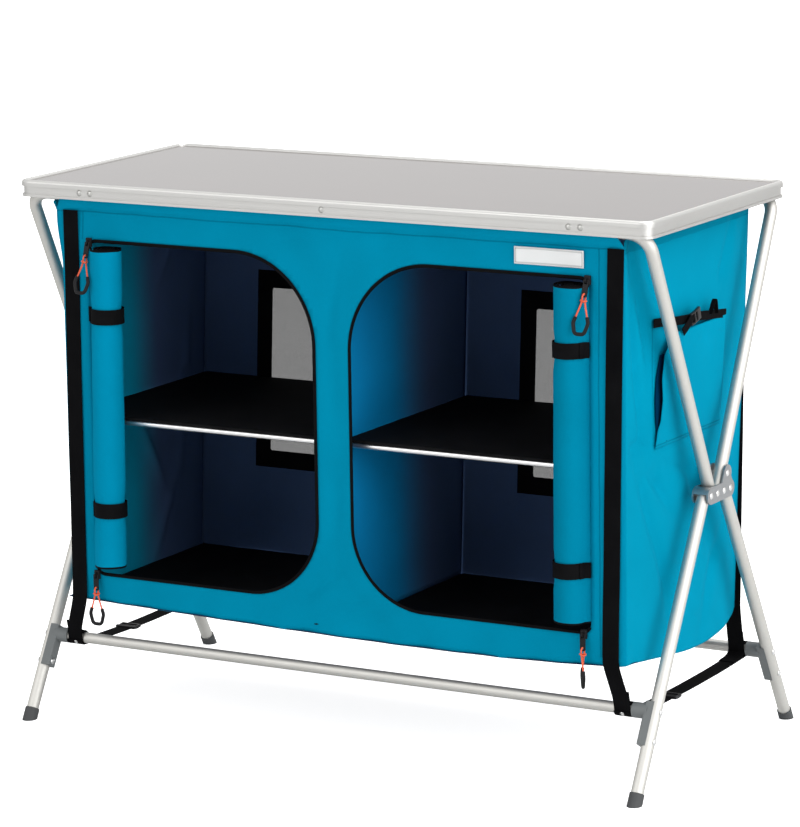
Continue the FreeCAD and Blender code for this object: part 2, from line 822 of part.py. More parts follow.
def ring_touch(point, x, y):
    """Where a strap from a point meets its loop round the rail, on the front side."""
    middle = (ring_inner + ring_outer) / 2
    towards = Vector(0, y - point.y, rail_height - point.z)
    angle = math.asin(middle / towards.Length)
    reach = towards.Length * math.cos(angle)
    touch = Rotation(right, -math.degrees(angle)).multVec(towards.normalize()) * reach
    return Vector(x, point.y + touch.y, point.z + touch.z)


def hanging_strap(top, fold, x, y):
    """A strap down the wall that leaves it at the fold and loops round the rail."""
    touch = ring_touch(fold, x, y)
    share = strap_settles_above / (fold.z - touch.z)
    settled = Vector(x, touch.y + share * (fold.y - touch.y), touch.z + strap_settles_above)
    solid = webbing_run(top, fold).fuse(webbing_run(fold, settled)).fuse(webbing_run(settled, touch))
    crease = rod(webbing_thickness / 2, webbing_width, fold - right * (webbing_width / 2), right)
    bore = rod(ring_inner, webbing_width, Vector(x - webbing_width / 2, y, rail_height), right)
    ring = rail_ring(ring_inner, ring_outer, x, y)
    return solid.fuse(crease).fuse(ring).cut(bore).removeSplitter()


def front_straps():
    line = front_outer - seat_clearance - webbing_thickness / 2
    solids = []
    for top_x, fold_x, rail_x in front_strap_places:
        top = Vector(top_x, line, strap_top_height)
        fold = Vector(fold_x, line, cabinet_bottom_height)
        solids.append(hanging_strap(top, fold, rail_x, -rail_distance))
    return solids


def back_straps():
    stand_off = cloth_thickness + seat_clearance + webbing_thickness / 2
    solids = []
    for x in (strap_left_x, strap_right_x):
        top = Vector(x, back_inner(strap_top_height) + stand_off, strap_top_height)
        fold = Vector(x, back_inner(cabinet_bottom_height) + stand_off, cabinet_bottom_height)
        solids.append(hanging_strap(top, fold, x, rail_distance))
    return solids


# Straps that tie the front rail to the back rail, each with a ladder buckle.
cross_inner = ring_outer + seat_clearance
cross_outer = cross_inner + webbing_thickness
cross_gap_angles = (88.0, 192.0)
cross_buckle_y = -50.0
cross_buckle_half_width = 16.5
cross_buckle_half_length = 10.0
cross_buckle_rise = 3.2
cross_buckle_slot = 5.0
cross_buckle_bar = 3.0


def cross_ring(x, y):
    """A loop round the rail, left open where the hanging strap passes."""
    first, last = [math.radians(a) for a in cross_gap_angles]
    points = [Vector(x - webbing_width / 2, y, rail_height)]
    for angle in (first, (first + last) / 2, last):
        reach = 2 * cross_outer
        points.append(points[0] + Vector(0, reach * math.cos(angle), reach * math.sin(angle)))
    gap = polygon_face(points).extrude(right * webbing_width)
    return rail_ring(cross_inner, cross_outer, x, y).cut(gap)


def cross_strap(x):
    low = rail_height - cross_outer
    run = box(x - webbing_width / 2, x + webbing_width / 2, -rail_distance, rail_distance,
              low, low + webbing_thickness)
    return run.fuse(cross_ring(x, -rail_distance)).fuse(cross_ring(x, rail_distance)).removeSplitter()


def cross_buckle(x):
    low = rail_height - cross_outer
    middle = low + webbing_thickness / 2
    solid = box(x - cross_buckle_half_width, x + cross_buckle_half_width,
                cross_buckle_y - cross_buckle_half_length, cross_buckle_y + cross_buckle_half_length,
                middle - cross_buckle_rise, middle + cross_buckle_rise)
    upright = [e for e in solid.Edges if e.BoundBox.ZLength > cross_buckle_rise]
    solid = solid.makeFillet(slider_rounding, upright)
    half = webbing_width / 2 + seat_clearance
    for step in (-1, 1):
        y = cross_buckle_y + step * (cross_buckle_bar / 2 + cross_buckle_slot / 2)
        solid = solid.cut(box(x - half, x + half, y - cross_buckle_slot / 2, y + cross_buckle_slot / 2,
                              middle - 2 * cross_buckle_rise, middle + 2 * cross_buckle_rise))
    return solid.cut(box(x - half, x + half, -rail_distance, rail_distance,
                         low - seat_clearance, low + webbing_thickness + seat_clearance))


# Side walls that bow out a little between the front and the back, and the divider.
side_wall_bulge = 4.0
side_wall_rise = 7.0
side_wall_shoulder_drop = 12.0
side_wall_top = bar_height + side_wall_rise
side_wall_shoulder = bar_height - side_wall_shoulder_drop
side_wall_shoulder_depth = 16.0
divider_drop = 13.0
divider_top = bar_height - divider_drop
floor_gap = 0.3
floor_thickness = 4.0
floor_inset = 4.0


def across_face(x, low, shoulder, top, gap):
    """The outline of a wall that closes the space between front and back walls."""
    front = front_inner + gap
    points = [Vector(x, front, low), Vector(x, front, shoulder)]
    if top > shoulder:
        near = bar_distance - side_wall_shoulder_depth
        points.append(Vector(x, -near, shoulder))
        points.append(Vector(x, -near + side_wall_shoulder_depth, top))
        points.append(Vector(x, near - side_wall_shoulder_depth, top))
        points.append(Vector(x, near, shoulder))
    points.append(Vector(x, back_inner(shoulder) - gap, shoulder))
    points.append(Vector(x, back_inner(low) - gap, low))
    return polygon_face(points)


def side_wall(side):
    edge = cabinet_shift + side * cabinet_width / 2
    mask = across_face(edge - 2 * side_wall_bulge, cabinet_bottom_height, side_wall_shoulder,
                       side_wall_top, seat_clearance)
    mask = mask.extrude(right * 4 * side_wall_bulge)
    reach = bar_distance + cut_overrun
    curves = []
    for inset in (0, cloth_thickness):
        x = edge - side * inset
        ends = [Vector(x, -reach, cabinet_bottom_height), Vector(x, reach, cabinet_bottom_height)]
        crown = Vector(x + side * side_wall_bulge, 0, cabinet_bottom_height)
        curves.append(Part.Arc(ends[0], crown, ends[1]).toShape())
        if inset:
            last = ends
        else:
            first = ends
    edges = [curves[0], Part.LineSegment(first[1], last[1]).toShape(), curves[1],
             Part.LineSegment(last[0], first[0]).toShape()]
    wall = Part.Face(Part.Wire(Part.__sortEdges__(edges)))
    wall = wall.extrude(up * (side_wall_top - cabinet_bottom_height))
    return wall.common(mask)


def divider():
    low = cabinet_bottom_height + cloth_thickness + seat_clearance
    face = across_face(cabinet_shift - cloth_thickness / 2, low, divider_top, divider_top, seat_clearance)
    return face.extrude(right * cloth_thickness)


def cabinet_bottom():
    inset = cloth_thickness + seat_clearance
    return box(cabinet_left + inset, cabinet_right - inset, front_inner + seat_clearance,
               back_wall_foot_distance - seat_clearance, cabinet_bottom_height,
               cabinet_bottom_height + cloth_thickness)


def floor_board(side):
    x0, x1 = compartment_ends(side)
    low = cabinet_bottom_height + cloth_thickness + floor_gap
    return box(x0, x1, front_inner + floor_inset, back_wall_foot_distance - floor_inset,
               low, low + floor_thickness)


def shelf(side):
    x0, x1 = compartment_ends(side)
    return box(x0, x1, -shelf_front_distance, back_inner(shelf_height) - shelf_back_gap,
               shelf_height, shelf_height + shelf_thickness)


# Pocket on the right wall, wide at its mouth, with a strap and buckle across it.
pocket_front_y = -112.0
pocket_back_y = 78.0
pocket_strap_drop = 135.5
pocket_below_strap = 19.0
pocket_height = 156.5
pocket_strap_centre = bar_height - pocket_strap_drop
pocket_top = pocket_strap_centre - pocket_below_strap
pocket_low = pocket_top - pocket_height
pocket_mouth = 12.0
pocket_foot = 1.2
pocket_strap_height = 15.0
pocket_strap_front_y = -122.0
pocket_strap_rise = 15.0
pocket_strap_back_y = 80.0
pocket_strap_fall = 17.0
pocket_buckle_y = -37.0
pocket_buckle_half_height = 10.5
pocket_buckle_half_length = 15.0
pocket_buckle_depth = 7.0


def wall_outer(y):
    """The outer face of the right wall at a distance from the middle."""
    reach = bar_distance + cut_overrun
    radius = (reach ** 2 + side_wall_bulge ** 2) / (2 * side_wall_bulge)
    return cabinet_right + side_wall_bulge - radius + math.sqrt(radius ** 2 - y ** 2)


def side_pocket():
    """One sheet that leans out towards its mouth, with a gusset at its back edge."""
    foot = wall_outer(0) + seat_clearance
    outline = [Vector(foot, 0, pocket_low), Vector(foot + pocket_foot, 0, pocket_low),
               Vector(foot + pocket_mouth, 0, pocket_top),
               Vector(foot + pocket_mouth - cloth_thickness, 0, pocket_top)]
    sheet = polygon_face(outline).extrude(backward * (pocket_back_y - pocket_front_y))
    sheet = sheet.translated(backward * pocket_front_y)
    wedge = [Vector(foot, 0, pocket_low), Vector(foot + pocket_mouth - cloth_thickness, 0, pocket_top),
             Vector(foot, 0, pocket_top)]
    gusset = polygon_face(wedge).extrude(backward * cloth_thickness)
    gusset = gusset.translated(backward * (pocket_back_y - cloth_thickness))
    return sheet.fuse(gusset).removeSplitter()


def sloped(shape):
    """The strap falls towards the back of the pocket."""
    reach = pocket_strap_back_y - pocket_strap_front_y
    angle = -math.degrees(math.atan2(pocket_strap_fall, reach))
    shape.rotate(Vector(0, pocket_strap_front_y, pocket_strap_centre), right, angle)
    return shape


def pocket_strap():
    """The strap is sewn down at its front end and runs over the mouth of the pocket."""
    base = wall_outer(pocket_front_y) + seat_clearance
    out = wall_outer(0) + pocket_mouth + 2 * seat_clearance
    corners = [Vector(base, pocket_strap_front_y, 0), Vector(base, pocket_front_y, 0),
               Vector(out, pocket_front_y + pocket_strap_rise, 0), Vector(out, pocket_strap_back_y, 0)]
    step = right * webbing_thickness
    points = corners + [p + step for p in reversed(corners)]
    low = pocket_strap_centre - pocket_strap_height / 2
    return sloped(polygon_face(points).translated(up * low).extrude(up * pocket_strap_height))


def pocket_buckle():
    out = wall_outer(0) + pocket_mouth + 2 * seat_clearance
    low = pocket_strap_centre - pocket_buckle_half_height
    high = pocket_strap_centre + pocket_buckle_half_height
    x0 = out - slider_rounding
    x1 = out - slider_rounding + pocket_buckle_depth
    solid = box(x0, x1, pocket_buckle_y - pocket_buckle_half_length,
                pocket_buckle_y + pocket_buckle_half_length, low, high)
    long_edges = [e for e in solid.Edges if e.BoundBox.YLength > pocket_buckle_half_length]
    solid = solid.makeFillet(slider_rounding, long_edges)
    half = pocket_strap_height / 2 + seat_clearance
    near = out - seat_clearance
    return sloped(solid.cut(box(near, near + webbing_thickness + 2 * seat_clearance,
                                pocket_strap_front_y, pocket_strap_back_y,
                                pocket_strap_centre - half, pocket_strap_centre + half)))


# Write every piece to its own file.
os.makedirs("parts", exist_ok=True)
save("worktop_panel", worktop_panel())
save("worktop_rim", worktop_rim())
save("rim_rivets", *rim_rivets())
save("back_bow", back_bow())
save("left_bracket", bracket(-end_frame_x))
save("right_bracket", bracket(end_frame_x))
save("bracket_rivets", *bracket_rivets())
save("front_bow", bow(bow_lean, upper_front_pivot))
for end, lean, pivot in (("front", -leg_lean, lower_front_pivot), ("back", leg_lean, lower_back_pivot)):
    rail_y = -rail_distance if end == "front" else rail_distance
    save(end + "_left_leg", leg(-end_frame_x, lean, pivot))
    save(end + "_right_leg", leg(end_frame_x, lean, pivot))
    save(end + "_rail", rail(rail_y))
    save(end + "_elbows", elbow(-1, lean, pivot), elbow(1, lean, pivot))
    save(end + "_foot_caps", foot_cap(-end_frame_x, lean, pivot), foot_cap(end_frame_x, lean, pivot))
    save(end + "_leg_rivets", *leg_rivets(lean, pivot))
save("left_cross_strap", cross_strap(-strap_right_x))
save("right_cross_strap", cross_strap(strap_right_x))
save("cross_strap_buckles", cross_buckle(-strap_right_x), cross_buckle(strap_right_x))
save("front_wall", front_wall())
save("back_wall", back_wall())
save("window_borders", window_border_ring(-1), window_border_ring(1))
save("roll_straps", *roll_straps())
save("front_label", front_label())
save("front_straps", *front_straps())
save("back_straps", *back_straps())
save("zip_sliders", *zip_sliders())
for name, side in (("left", -1), ("right", 1)):
    save(name + "_zip", zip_tape(side))
    save(name + "_door_roll", door_roll(side))
    save(name + "_window_mesh", window_mesh(side))
    save(name + "_shelf_rod", shelf_rod(side))
    save(name + "_side_wall", side_wall(side))
    save(name + "_floor_board", floor_board(side))
    save(name + "_shelf", shelf(side))
save("divider", divider())
save("cabinet_bottom", cabinet_bottom())
save("side_pocket", side_pocket())
save("pocket_strap", pocket_strap())
save("pocket_buckle", pocket_buckle())
for name, x, z, tilt, turn in pulls:
    save(name + "_cord", placed_pull(pull_cord(turn), x, z, tilt), placed_pull(pull_hitch(), x, z, tilt))
    save(name + "_grip", placed_pull(pull_tab(), x, z, tilt), placed_pull(pull_grip(turn), x, z, tilt))
print("cord bend radii", cord_radii, "at a cord diameter of", 2 * cord_radius)
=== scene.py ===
import math

import bpy
from mathutils import Matrix, Vector, noise


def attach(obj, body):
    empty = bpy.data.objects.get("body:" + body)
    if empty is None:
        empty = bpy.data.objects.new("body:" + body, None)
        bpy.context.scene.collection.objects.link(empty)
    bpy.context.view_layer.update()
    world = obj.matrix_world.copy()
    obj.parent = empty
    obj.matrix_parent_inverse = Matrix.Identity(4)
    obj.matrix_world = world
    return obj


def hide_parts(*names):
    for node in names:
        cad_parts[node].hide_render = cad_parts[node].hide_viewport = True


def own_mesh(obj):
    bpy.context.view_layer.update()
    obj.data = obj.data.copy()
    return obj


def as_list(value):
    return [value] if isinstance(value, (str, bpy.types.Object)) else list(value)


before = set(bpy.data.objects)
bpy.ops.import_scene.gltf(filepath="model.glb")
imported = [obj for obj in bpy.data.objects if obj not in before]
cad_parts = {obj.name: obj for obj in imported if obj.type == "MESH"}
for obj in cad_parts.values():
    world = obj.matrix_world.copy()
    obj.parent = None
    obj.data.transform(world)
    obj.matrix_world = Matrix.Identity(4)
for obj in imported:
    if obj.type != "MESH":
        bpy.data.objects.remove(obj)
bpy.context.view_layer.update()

# The room is a plain pale floor under a white world. The camera stands to the right
# of the cupboard's front and looks down a little, as the photographer did.
scene = bpy.context.scene
scene.view_settings.view_transform = "Standard"
camera_place = Vector((2.91518, -5.1289, 1.6323))
camera_turn = 0.5172695
camera_drop = 0.1965281
camera_roll = -0.0152216
forward = Vector((-math.sin(camera_turn) * math.cos(camera_drop),
                  math.cos(camera_turn) * math.cos(camera_drop), -math.sin(camera_drop)))
level_right = Vector((math.cos(camera_turn), math.sin(camera_turn), 0))
level_up = level_right.cross(forward)
frame_right = math.cos(camera_roll) * level_right + math.sin(camera_roll) * level_up
frame_up = math.cos(camera_roll) * level_up - math.sin(camera_roll) * level_right
camera = bpy.data.objects.new("camera", bpy.data.cameras.new("camera"))
camera.data.sensor_fit = "HORIZONTAL"
camera.data.sensor_width = 36.0
camera.data.lens = 4145.69 * 36.0 / 800
camera.data.clip_end = 60.0
turned = Matrix((frame_right, frame_up, -forward)).transposed().to_4x4()
camera.matrix_world = Matrix.Translation(camera_place) @ turned
scene.collection.objects.link(camera)
scene.camera = camera


def wired(material):
    """The nodes of a material or world, a joiner of their sockets and a maker of new ones."""
    material.use_nodes = True
    nodes = material.node_tree.nodes
    links = material.node_tree.links

    def add(kind, **sockets):
        node = nodes.new(kind)
        for socket, value in sockets.items():
            node.inputs[socket.replace("_", " ")].default_value = value
        return node

    def join(source, output, target, socket):
        links.new(source.outputs[output], target.inputs[socket])
    return nodes, join, add


def two_tones(add, low, high):
    """A ramp from one colour to another."""
    ramp = add("ShaderNodeValToRGB")
    ramp.color_ramp.elements[0].color = tuple(low) + (1,)
    ramp.color_ramp.elements[1].color = tuple(high) + (1,)
    return ramp


def soft_lamp(name, place, aim, size, watts):
    lamp = bpy.data.objects.new(name, bpy.data.lights.new(name, "AREA"))
    lamp.data.shape = "DISK"
    lamp.data.size = size
    lamp.data.energy = watts
    lamp.location = place
    lamp.rotation_euler = (Vector(aim) - Vector(place)).to_track_quat("-Z", "Y").to_euler()
    scene.collection.objects.link(lamp)


soft_lamp("right_lamp", (4.6, -1.2, 2.6), (0.2, 0, 0.45), 6.0, 250)
soft_lamp("front_lamp", (-2.2, -5.2, 3.2), (0, 0, 0.4), 3.8, 90)
soft_lamp("top_lamp", (0.3, 0.8, 4.2), (0, 0, 0.5), 3.0, 80)

world = bpy.data.worlds.new("white_room")
scene.world = world
nodes, join, add = wired(world)
rays = add("ShaderNodeLightPath")
seen = add("ShaderNodeMath")
seen.operation = "MAXIMUM"
also = add("ShaderNodeMath")
also.operation = "MAXIMUM"
level = add("ShaderNodeMapRange", To_Min=0.5, To_Max=1.0)
join(rays, "Is Camera Ray", seen, 0)
join(rays, "Is Glossy Ray", seen, 1)
join(seen, 0, also, 0)
join(rays, "Is Transmission Ray", also, 1)
join(also, 0, level, "Value")
join(level, "Result", nodes["Background"], "Strength")
nodes["Background"].inputs["Color"].default_value = (1, 1, 1, 1)

floor_reach = 14.0
floor_mesh = bpy.data.meshes.new("floor")
floor_mesh.from_pydata([(x, y, 0) for x, y in ((-1, -1), (1, -1), (1, 1), (-1, 1))], [], [(0, 1, 2, 3)])
floor_mesh.transform(Matrix.Diagonal((floor_reach, floor_reach, 1, 1)))
floor = bpy.data.objects.new("floor", floor_mesh)
scene.collection.objects.link(floor)
pale = bpy.data.materials.new("pale_floor")
nodes, join, add = wired(pale)
nodes["Principled BSDF"].inputs["Base Color"].default_value = (0.9, 0.9, 0.9, 1)
nodes["Principled BSDF"].inputs["Roughness"].default_value = 0.9
nodes["Principled BSDF"].inputs["Emission Color"].default_value = (1, 1, 1, 1)
rays = add("ShaderNodeLightPath")
spot = add("ShaderNodeTexCoord")
away = add("ShaderNodeVectorMath")
away.operation = "LENGTH"
glow = add("ShaderNodeMapRange", From_Min=0.5, From_Max=3.2, To_Min=0.72, To_Max=1.0)
lift = add("ShaderNodeMath")
lift.operation = "MULTIPLY"
join(spot, "Object", away, 0)
join(away, "Value", glow, "Value")
join(glow, "Result", lift, 0)
join(rays, "Is Camera Ray", lift, 1)
join(lift, 0, nodes["Principled BSDF"], "Emission Strength")
floor_mesh.materials.append(pale)


# The frame is bent and straight tube, 18 mm for the legs and 16 mm for the rails,
# of satin aluminium with a drawn grain. The rim of the worktop is the same metal.
def metal_finish(name, colour, roughness, grain, grain_depth=0.00002):
    """Bare or painted metal with a fine grain, and faint handling marks in its gloss."""
    finish = bpy.data.materials.new(name)
    nodes, join, add = wired(finish)
    shader = nodes["Principled BSDF"]
    shader.inputs["Metallic"].default_value = 1.0
    place = add("ShaderNodeTexCoord")
    stretch = add("ShaderNodeMapping", Scale=grain)
    fine = add("ShaderNodeTexNoise", Scale=1.0, Detail=3.0)
    marks = add("ShaderNodeTexNoise", Scale=26.0, Detail=4.0)
    gloss = add("ShaderNodeMapRange", To_Min=roughness - 0.06, To_Max=roughness + 0.06)
    tone = two_tones(add, colour, [c * 0.88 for c in colour])
    bump = add("ShaderNodeBump", Strength=0.5, Distance=grain_depth)
    join(place, "Object", stretch, "Vector")
    join(place, "Object", marks, "Vector")
    join(stretch, "Vector", fine, "Vector")
    join(marks, "Fac", gloss, "Value")
    join(gloss, "Result", shader, "Roughness")
    join(fine, "Fac", tone, "Fac")
    join(tone, "Color", shader, "Base Color")
    join(fine, "Fac", bump, "Height")
    join(bump, "Normal", shader, "Normal")
    return finish


def dress(node, finish):
    """Give a carried-over solid its finish."""
    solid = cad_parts[node]
    solid.data.materials.clear()
    solid.data.materials.append(finish)


upright_tube = metal_finish("satin_upright_tube", (0.60, 0.59, 0.56), 0.58, (900, 900, 12))
level_tube = metal_finish("satin_level_tube", (0.60, 0.59, 0.56), 0.58, (12, 900, 900))
for tube in ("back_bow", "front_bow", "front_left_leg", "front_right_leg", "back_left_leg", "back_right_leg"):
    dress(tube, upright_tube)
for tube in ("front_rail", "back_rail"):
    dress(tube, level_tube)

# Two folded steel brackets hold the four tubes of each end frame on one row of rivets.
# They are painted a satin grey, and the rivets are bright.
bracket_paint = metal_finish("bracket_paint", (0.36, 0.37, 0.38), 0.42, (300, 300, 300), 0.00003)
for bracket in ("left_bracket", "right_bracket"):
    dress(bracket, bracket_paint)
rivet_metal = metal_finish("rivet_metal", (0.72, 0.72, 0.71), 0.28, (500, 500, 500))
for rivets in ("bracket_rivets", "front_leg_rivets", "back_leg_rivets"):
    dress(rivets, rivet_metal)
dress("rim_rivets", metal_finish("rim_rivet_metal", (0.50, 0.50, 0.48), 0.45, (500, 500, 500)))


# Moulded grey elbows sit inside the legs and take the ends of the rails.
# The foot caps are the same grey plastic with a fine moulded texture.
def plastic_finish(name, colour, roughness, shine):
    """Moulded plastic with a fine texture and a slightly uneven gloss."""
    finish = bpy.data.materials.new(name)
    nodes, join, add = wired(finish)
    shader = nodes["Principled BSDF"]
    shader.inputs["Specular IOR Level"].default_value = shine
    place = add("ShaderNodeTexCoord")
    fine = add("ShaderNodeTexNoise", Scale=900, Detail=2.0)
    marks = add("ShaderNodeTexNoise", Scale=40.0, Detail=4.0)
    gloss = add("ShaderNodeMapRange", To_Min=roughness - 0.07, To_Max=roughness + 0.07)
    tone = two_tones(add, colour, [c * 1.25 + 0.004 for c in colour])
    bump = add("ShaderNodeBump", Strength=0.6, Distance=0.00006)
    for texture in (fine, marks):
        join(place, "Object", texture, "Vector")
    join(marks, "Fac", gloss, "Value")
    join(marks, "Fac", tone, "Fac")
    join(gloss, "Result", shader, "Roughness")
    join(tone, "Color", shader, "Base Color")
    join(fine, "Fac", bump, "Height")
    join(bump, "Normal", shader, "Normal")
    return finish


grey_plastic = plastic_finish("grey_plastic", (0.13, 0.14, 0.142), 0.5, 0.3)
foot_rubber = plastic_finish("foot_rubber", (0.06, 0.062, 0.064), 0.6, 0.2)
for end in ("front", "back"):
    dress(end + "_elbows", grey_plastic)
    dress(end + "_foot_caps", foot_rubber)

# The worktop is a dark, glossy laminate board held in a pale metal rim that has a round
# bead above and a small lip below. The board mirrors the room like glass.
rim_metal = metal_finish("rim_metal", (0.58, 0.575, 0.56), 0.5, (10, 700, 700))
dress("worktop_rim", rim_metal)
gloss_board = bpy.data.materials.new("gloss_board")
nodes, join, add = wired(gloss_board)
shader = nodes["Principled BSDF"]
shader.inputs["Roughness"].default_value = 0.1
shader.inputs["Coat Weight"].default_value = 0.34
shader.inputs["Coat Roughness"].default_value = 0.03
shader.inputs["Coat IOR"].default_value = 1.42
shader.inputs["Specular IOR Level"].default_value = 0.3
place = add("ShaderNodeTexCoord")
cloudy = add("ShaderNodeTexNoise", Scale=7.0, Detail=5.0)
tone = two_tones(add, (0.05, 0.032, 0.026), (0.07, 0.046, 0.038))
orange_peel = add("ShaderNodeTexNoise", Scale=160.0, Detail=1.0)
bump = add("ShaderNodeBump", Strength=0.15, Distance=0.00003)
join(place, "Object", cloudy, "Vector")
join(place, "Object", orange_peel, "Vector")
join(cloudy, "Fac", tone, "Fac")
join(tone, "Color", shader, "Base Color")
join(orange_peel, "Fac", bump, "Height")
join(bump, "Normal", shader, "Coat Normal")
dress("worktop_panel", gloss_board)


# The cabinet is sewn from plain woven polyester, blue outside. Its inside faces get a dark navy,
# painted shade for the shadowed inside of the cabinet. The front wall hangs in a sleeve on the
# front bar and has two doorways.
def cloth_finish(name, colour, across, seams=(), thread=0.0009, variation=0.12, roughness=0.78, shade_fade=None):
    """Plain weave with slow changes in tone. Each seam is a row of stitches drawn as a sunk
    groove with painted shade along it: the axis that it is measured on and its place, then where it
    starts and ends. A shade fade is another colour of painted shade, with the axis that it comes in
    along, its start and its end."""
    finish = bpy.data.materials.new(name)
    nodes, join, add = wired(finish)
    shader = nodes["Principled BSDF"]
    shader.inputs["Specular IOR Level"].default_value = 0.012
    place = add("ShaderNodeTexCoord")
    turns = 2 * math.pi / (20 * thread)
    weft = add("ShaderNodeTexWave", Scale=turns, Distortion=0.4, Detail=1.0)
    weft.bands_direction = across
    warp = add("ShaderNodeTexWave", Scale=turns, Distortion=0.4, Detail=1.0)
    warp.bands_direction = "Z"
    cloudy = add("ShaderNodeTexNoise", Scale=9.0, Detail=4.0)
    slubs = add("ShaderNodeTexNoise", Scale=340.0, Detail=2.0)
    weave = add("ShaderNodeMath")
    weave.operation = "MULTIPLY"
    mottle = add("ShaderNodeMath")
    mottle.operation = "MULTIPLY_ADD"
    mottle.inputs[1].default_value = 0.35
    tone = two_tones(add, [c * (1 - variation) for c in colour], [min(1, c * (1 + variation)) for c in colour])
    gloss = add("ShaderNodeMapRange", To_Min=roughness - 0.06, To_Max=roughness + 0.06)
    bump = add("ShaderNodeBump", Strength=0.7, Distance=0.0001)
    for texture in (weft, warp, cloudy, slubs):
        join(place, "Object", texture, "Vector")
    join(weft, "Fac", weave, 0)
    join(warp, "Fac", weave, 1)
    join(slubs, "Fac", mottle, 0)
    join(cloudy, "Fac", mottle, 2)
    join(mottle, 0, tone, "Fac")
    join(slubs, "Fac", gloss, "Value")
    join(gloss, "Result", shader, "Roughness")
    join(weave, 0, bump, "Height")
    shade, normal = (tone, "Color"), (bump, "Normal")
    parts = add("ShaderNodeSeparateXYZ")
    drift = add("ShaderNodeMath")
    drift.operation = "MULTIPLY_ADD"
    drift.inputs[1].default_value = 0.005
    drift.inputs[2].default_value = -0.0025
    join(cloudy, "Fac", drift, 0)
    join(place, "Object", parts, 0)
    # The shade fade mixes in painted shade along one axis.
    if shade_fade:
        deeper = add("ShaderNodeMixRGB", Color2=tuple(shade_fade[0]) + (1,))
        far = add("ShaderNodeMapRange", From_Min=shade_fade[2], From_Max=shade_fade[3])
        far.interpolation_type = "SMOOTHSTEP"
        join(parts, shade_fade[1], far, "Value")
        join(far, "Result", deeper, "Fac")
        join(*shade, deeper, "Color1")
        shade = (deeper, "Color")
    # Each seam darkens the cloth along its groove as painted shade.
    for axis, at, other, start, end in seams:
        off = add("ShaderNodeMath")
        off.operation = "SUBTRACT"
        off.inputs[1].default_value = at
        stray = add("ShaderNodeMath")
        near = add("ShaderNodeMath")
        near.operation = "ABSOLUTE"
        groove = add("ShaderNodeMapRange", From_Min=0.0003, From_Max=0.0018, To_Min=1.0, To_Max=0.0)
        groove.interpolation_type = "SMOOTHSTEP"
        within = add("ShaderNodeMath")
        within.operation = "COMPARE"
        within.inputs[1].default_value = (start + end) / 2
        within.inputs[2].default_value = (end - start) / 2
        line = add("ShaderNodeMath")
        line.operation = "MULTIPLY"
        seam_shade = add("ShaderNodeMixRGB", Color2=(0.72, 0.72, 0.72, 1))
        seam_shade.blend_type = "MULTIPLY"
        sunk = add("ShaderNodeBump", Strength=1.0, Distance=0.0004)
        sunk.invert = True
        join(parts, axis, off, 0)
        join(off, 0, stray, 0)
        join(drift, 0, stray, 1)
        join(stray, 0, near, 0)
        join(near, 0, groove, "Value")
        join(parts, other, within, 0)
        join(groove, "Result", line, 0)
        join(within, 0, line, 1)
        join(line, 0, seam_shade, "Fac")
        join(*shade, seam_shade, "Color1")
        join(line, 0, sunk, "Height")
        join(*normal, sunk, "Normal")
        shade, normal = (seam_shade, "Color"), (sunk, "Normal")
    join(*shade, shader, "Base Color")
    join(*normal, shader, "Normal")
    return finish


blue = (0.0, 0.215, 0.355)
# The navy of the inside faces is painted shade.
shade_navy = (0.07, 0.12, 0.25)
# The seams below are drawn with painted shade along them.
front_seams = [("Z", 0.7570, "X", -1, 1), ("X", 0.4255, "Z", 0.19, 0.757), ("X", -0.4085, "Z", 0.717, 0.757)]
front_cloth = cloth_finish("front_cloth", blue, "X", front_seams)
front_inside_shade = cloth_finish("front_inside_shade", shade_navy, "X", roughness=0.6)

cloth_thickness = 0.0012
cabinet_left = -0.451
cabinet_right = 0.465
cabinet_middle_x = 0.007
cabinet_bottom_z = 0.182
front_y = -0.2074
bar_y = 0.204
bar_z = 0.781
sleeve_radius = 0.0099
hem_z = 0.760
hem_cut = 0.018


def piece_from(name, vertices, faces, finishes):
    """A new piece of the object from its points and faces."""
    mesh = bpy.data.meshes.new(name)
    mesh.from_pydata(vertices, [], faces)
    mesh.validate()
    for finish in finishes:
        mesh.materials.append(finish)
    mesh.polygons.foreach_set("use_smooth", [True] * len(mesh.polygons))
    piece = bpy.data.objects.new(name, mesh)
    scene.collection.objects.link(piece)
    return piece


def settled(piece):
    """Apply the piece's modifiers to its mesh."""
    bpy.context.view_layer.update()
    shown = piece.evaluated_get(bpy.context.evaluated_depsgraph_get())
    piece.data = bpy.data.meshes.new_from_object(shown)
    piece.data.name = piece.name
    piece.modifiers.clear()
    return piece


# The material offset gives the inside faces their own finish, which carries painted shade.
def thickened(piece, thickness, offset=0.0, shade_layer=0):
    solid = piece.modifiers.new("thickness", "SOLIDIFY")
    solid.thickness = thickness
    solid.offset = offset
    solid.use_even_offset = True
    solid.material_offset = shade_layer
    return settled(piece)


def plumped(piece, thickness, share, segments):
    """Give the piece its thickness and round its edges by a share of it."""
    solid = piece.modifiers.new("thickness", "SOLIDIFY")
    solid.thickness = thickness
    solid.offset = 0
    edge = piece.modifiers.new("edge", "BEVEL")
    edge.width = thickness * share
    edge.segments = segments
    return settled(piece)


def stands_in(piece, body, node):
    """Hang the piece on its body, in the place of a solid."""
    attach(piece, body)
    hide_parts(node)


def steps(stops, pitch):
    """Values from the first stop to the last that hit every stop, about a pitch apart."""
    values = [stops[0]]
    for low, high in zip(stops, stops[1:]):
        count = max(1, round((high - low) / pitch))
        values += [low + (high - low) * (i + 1) / count for i in range(count)]
    return values


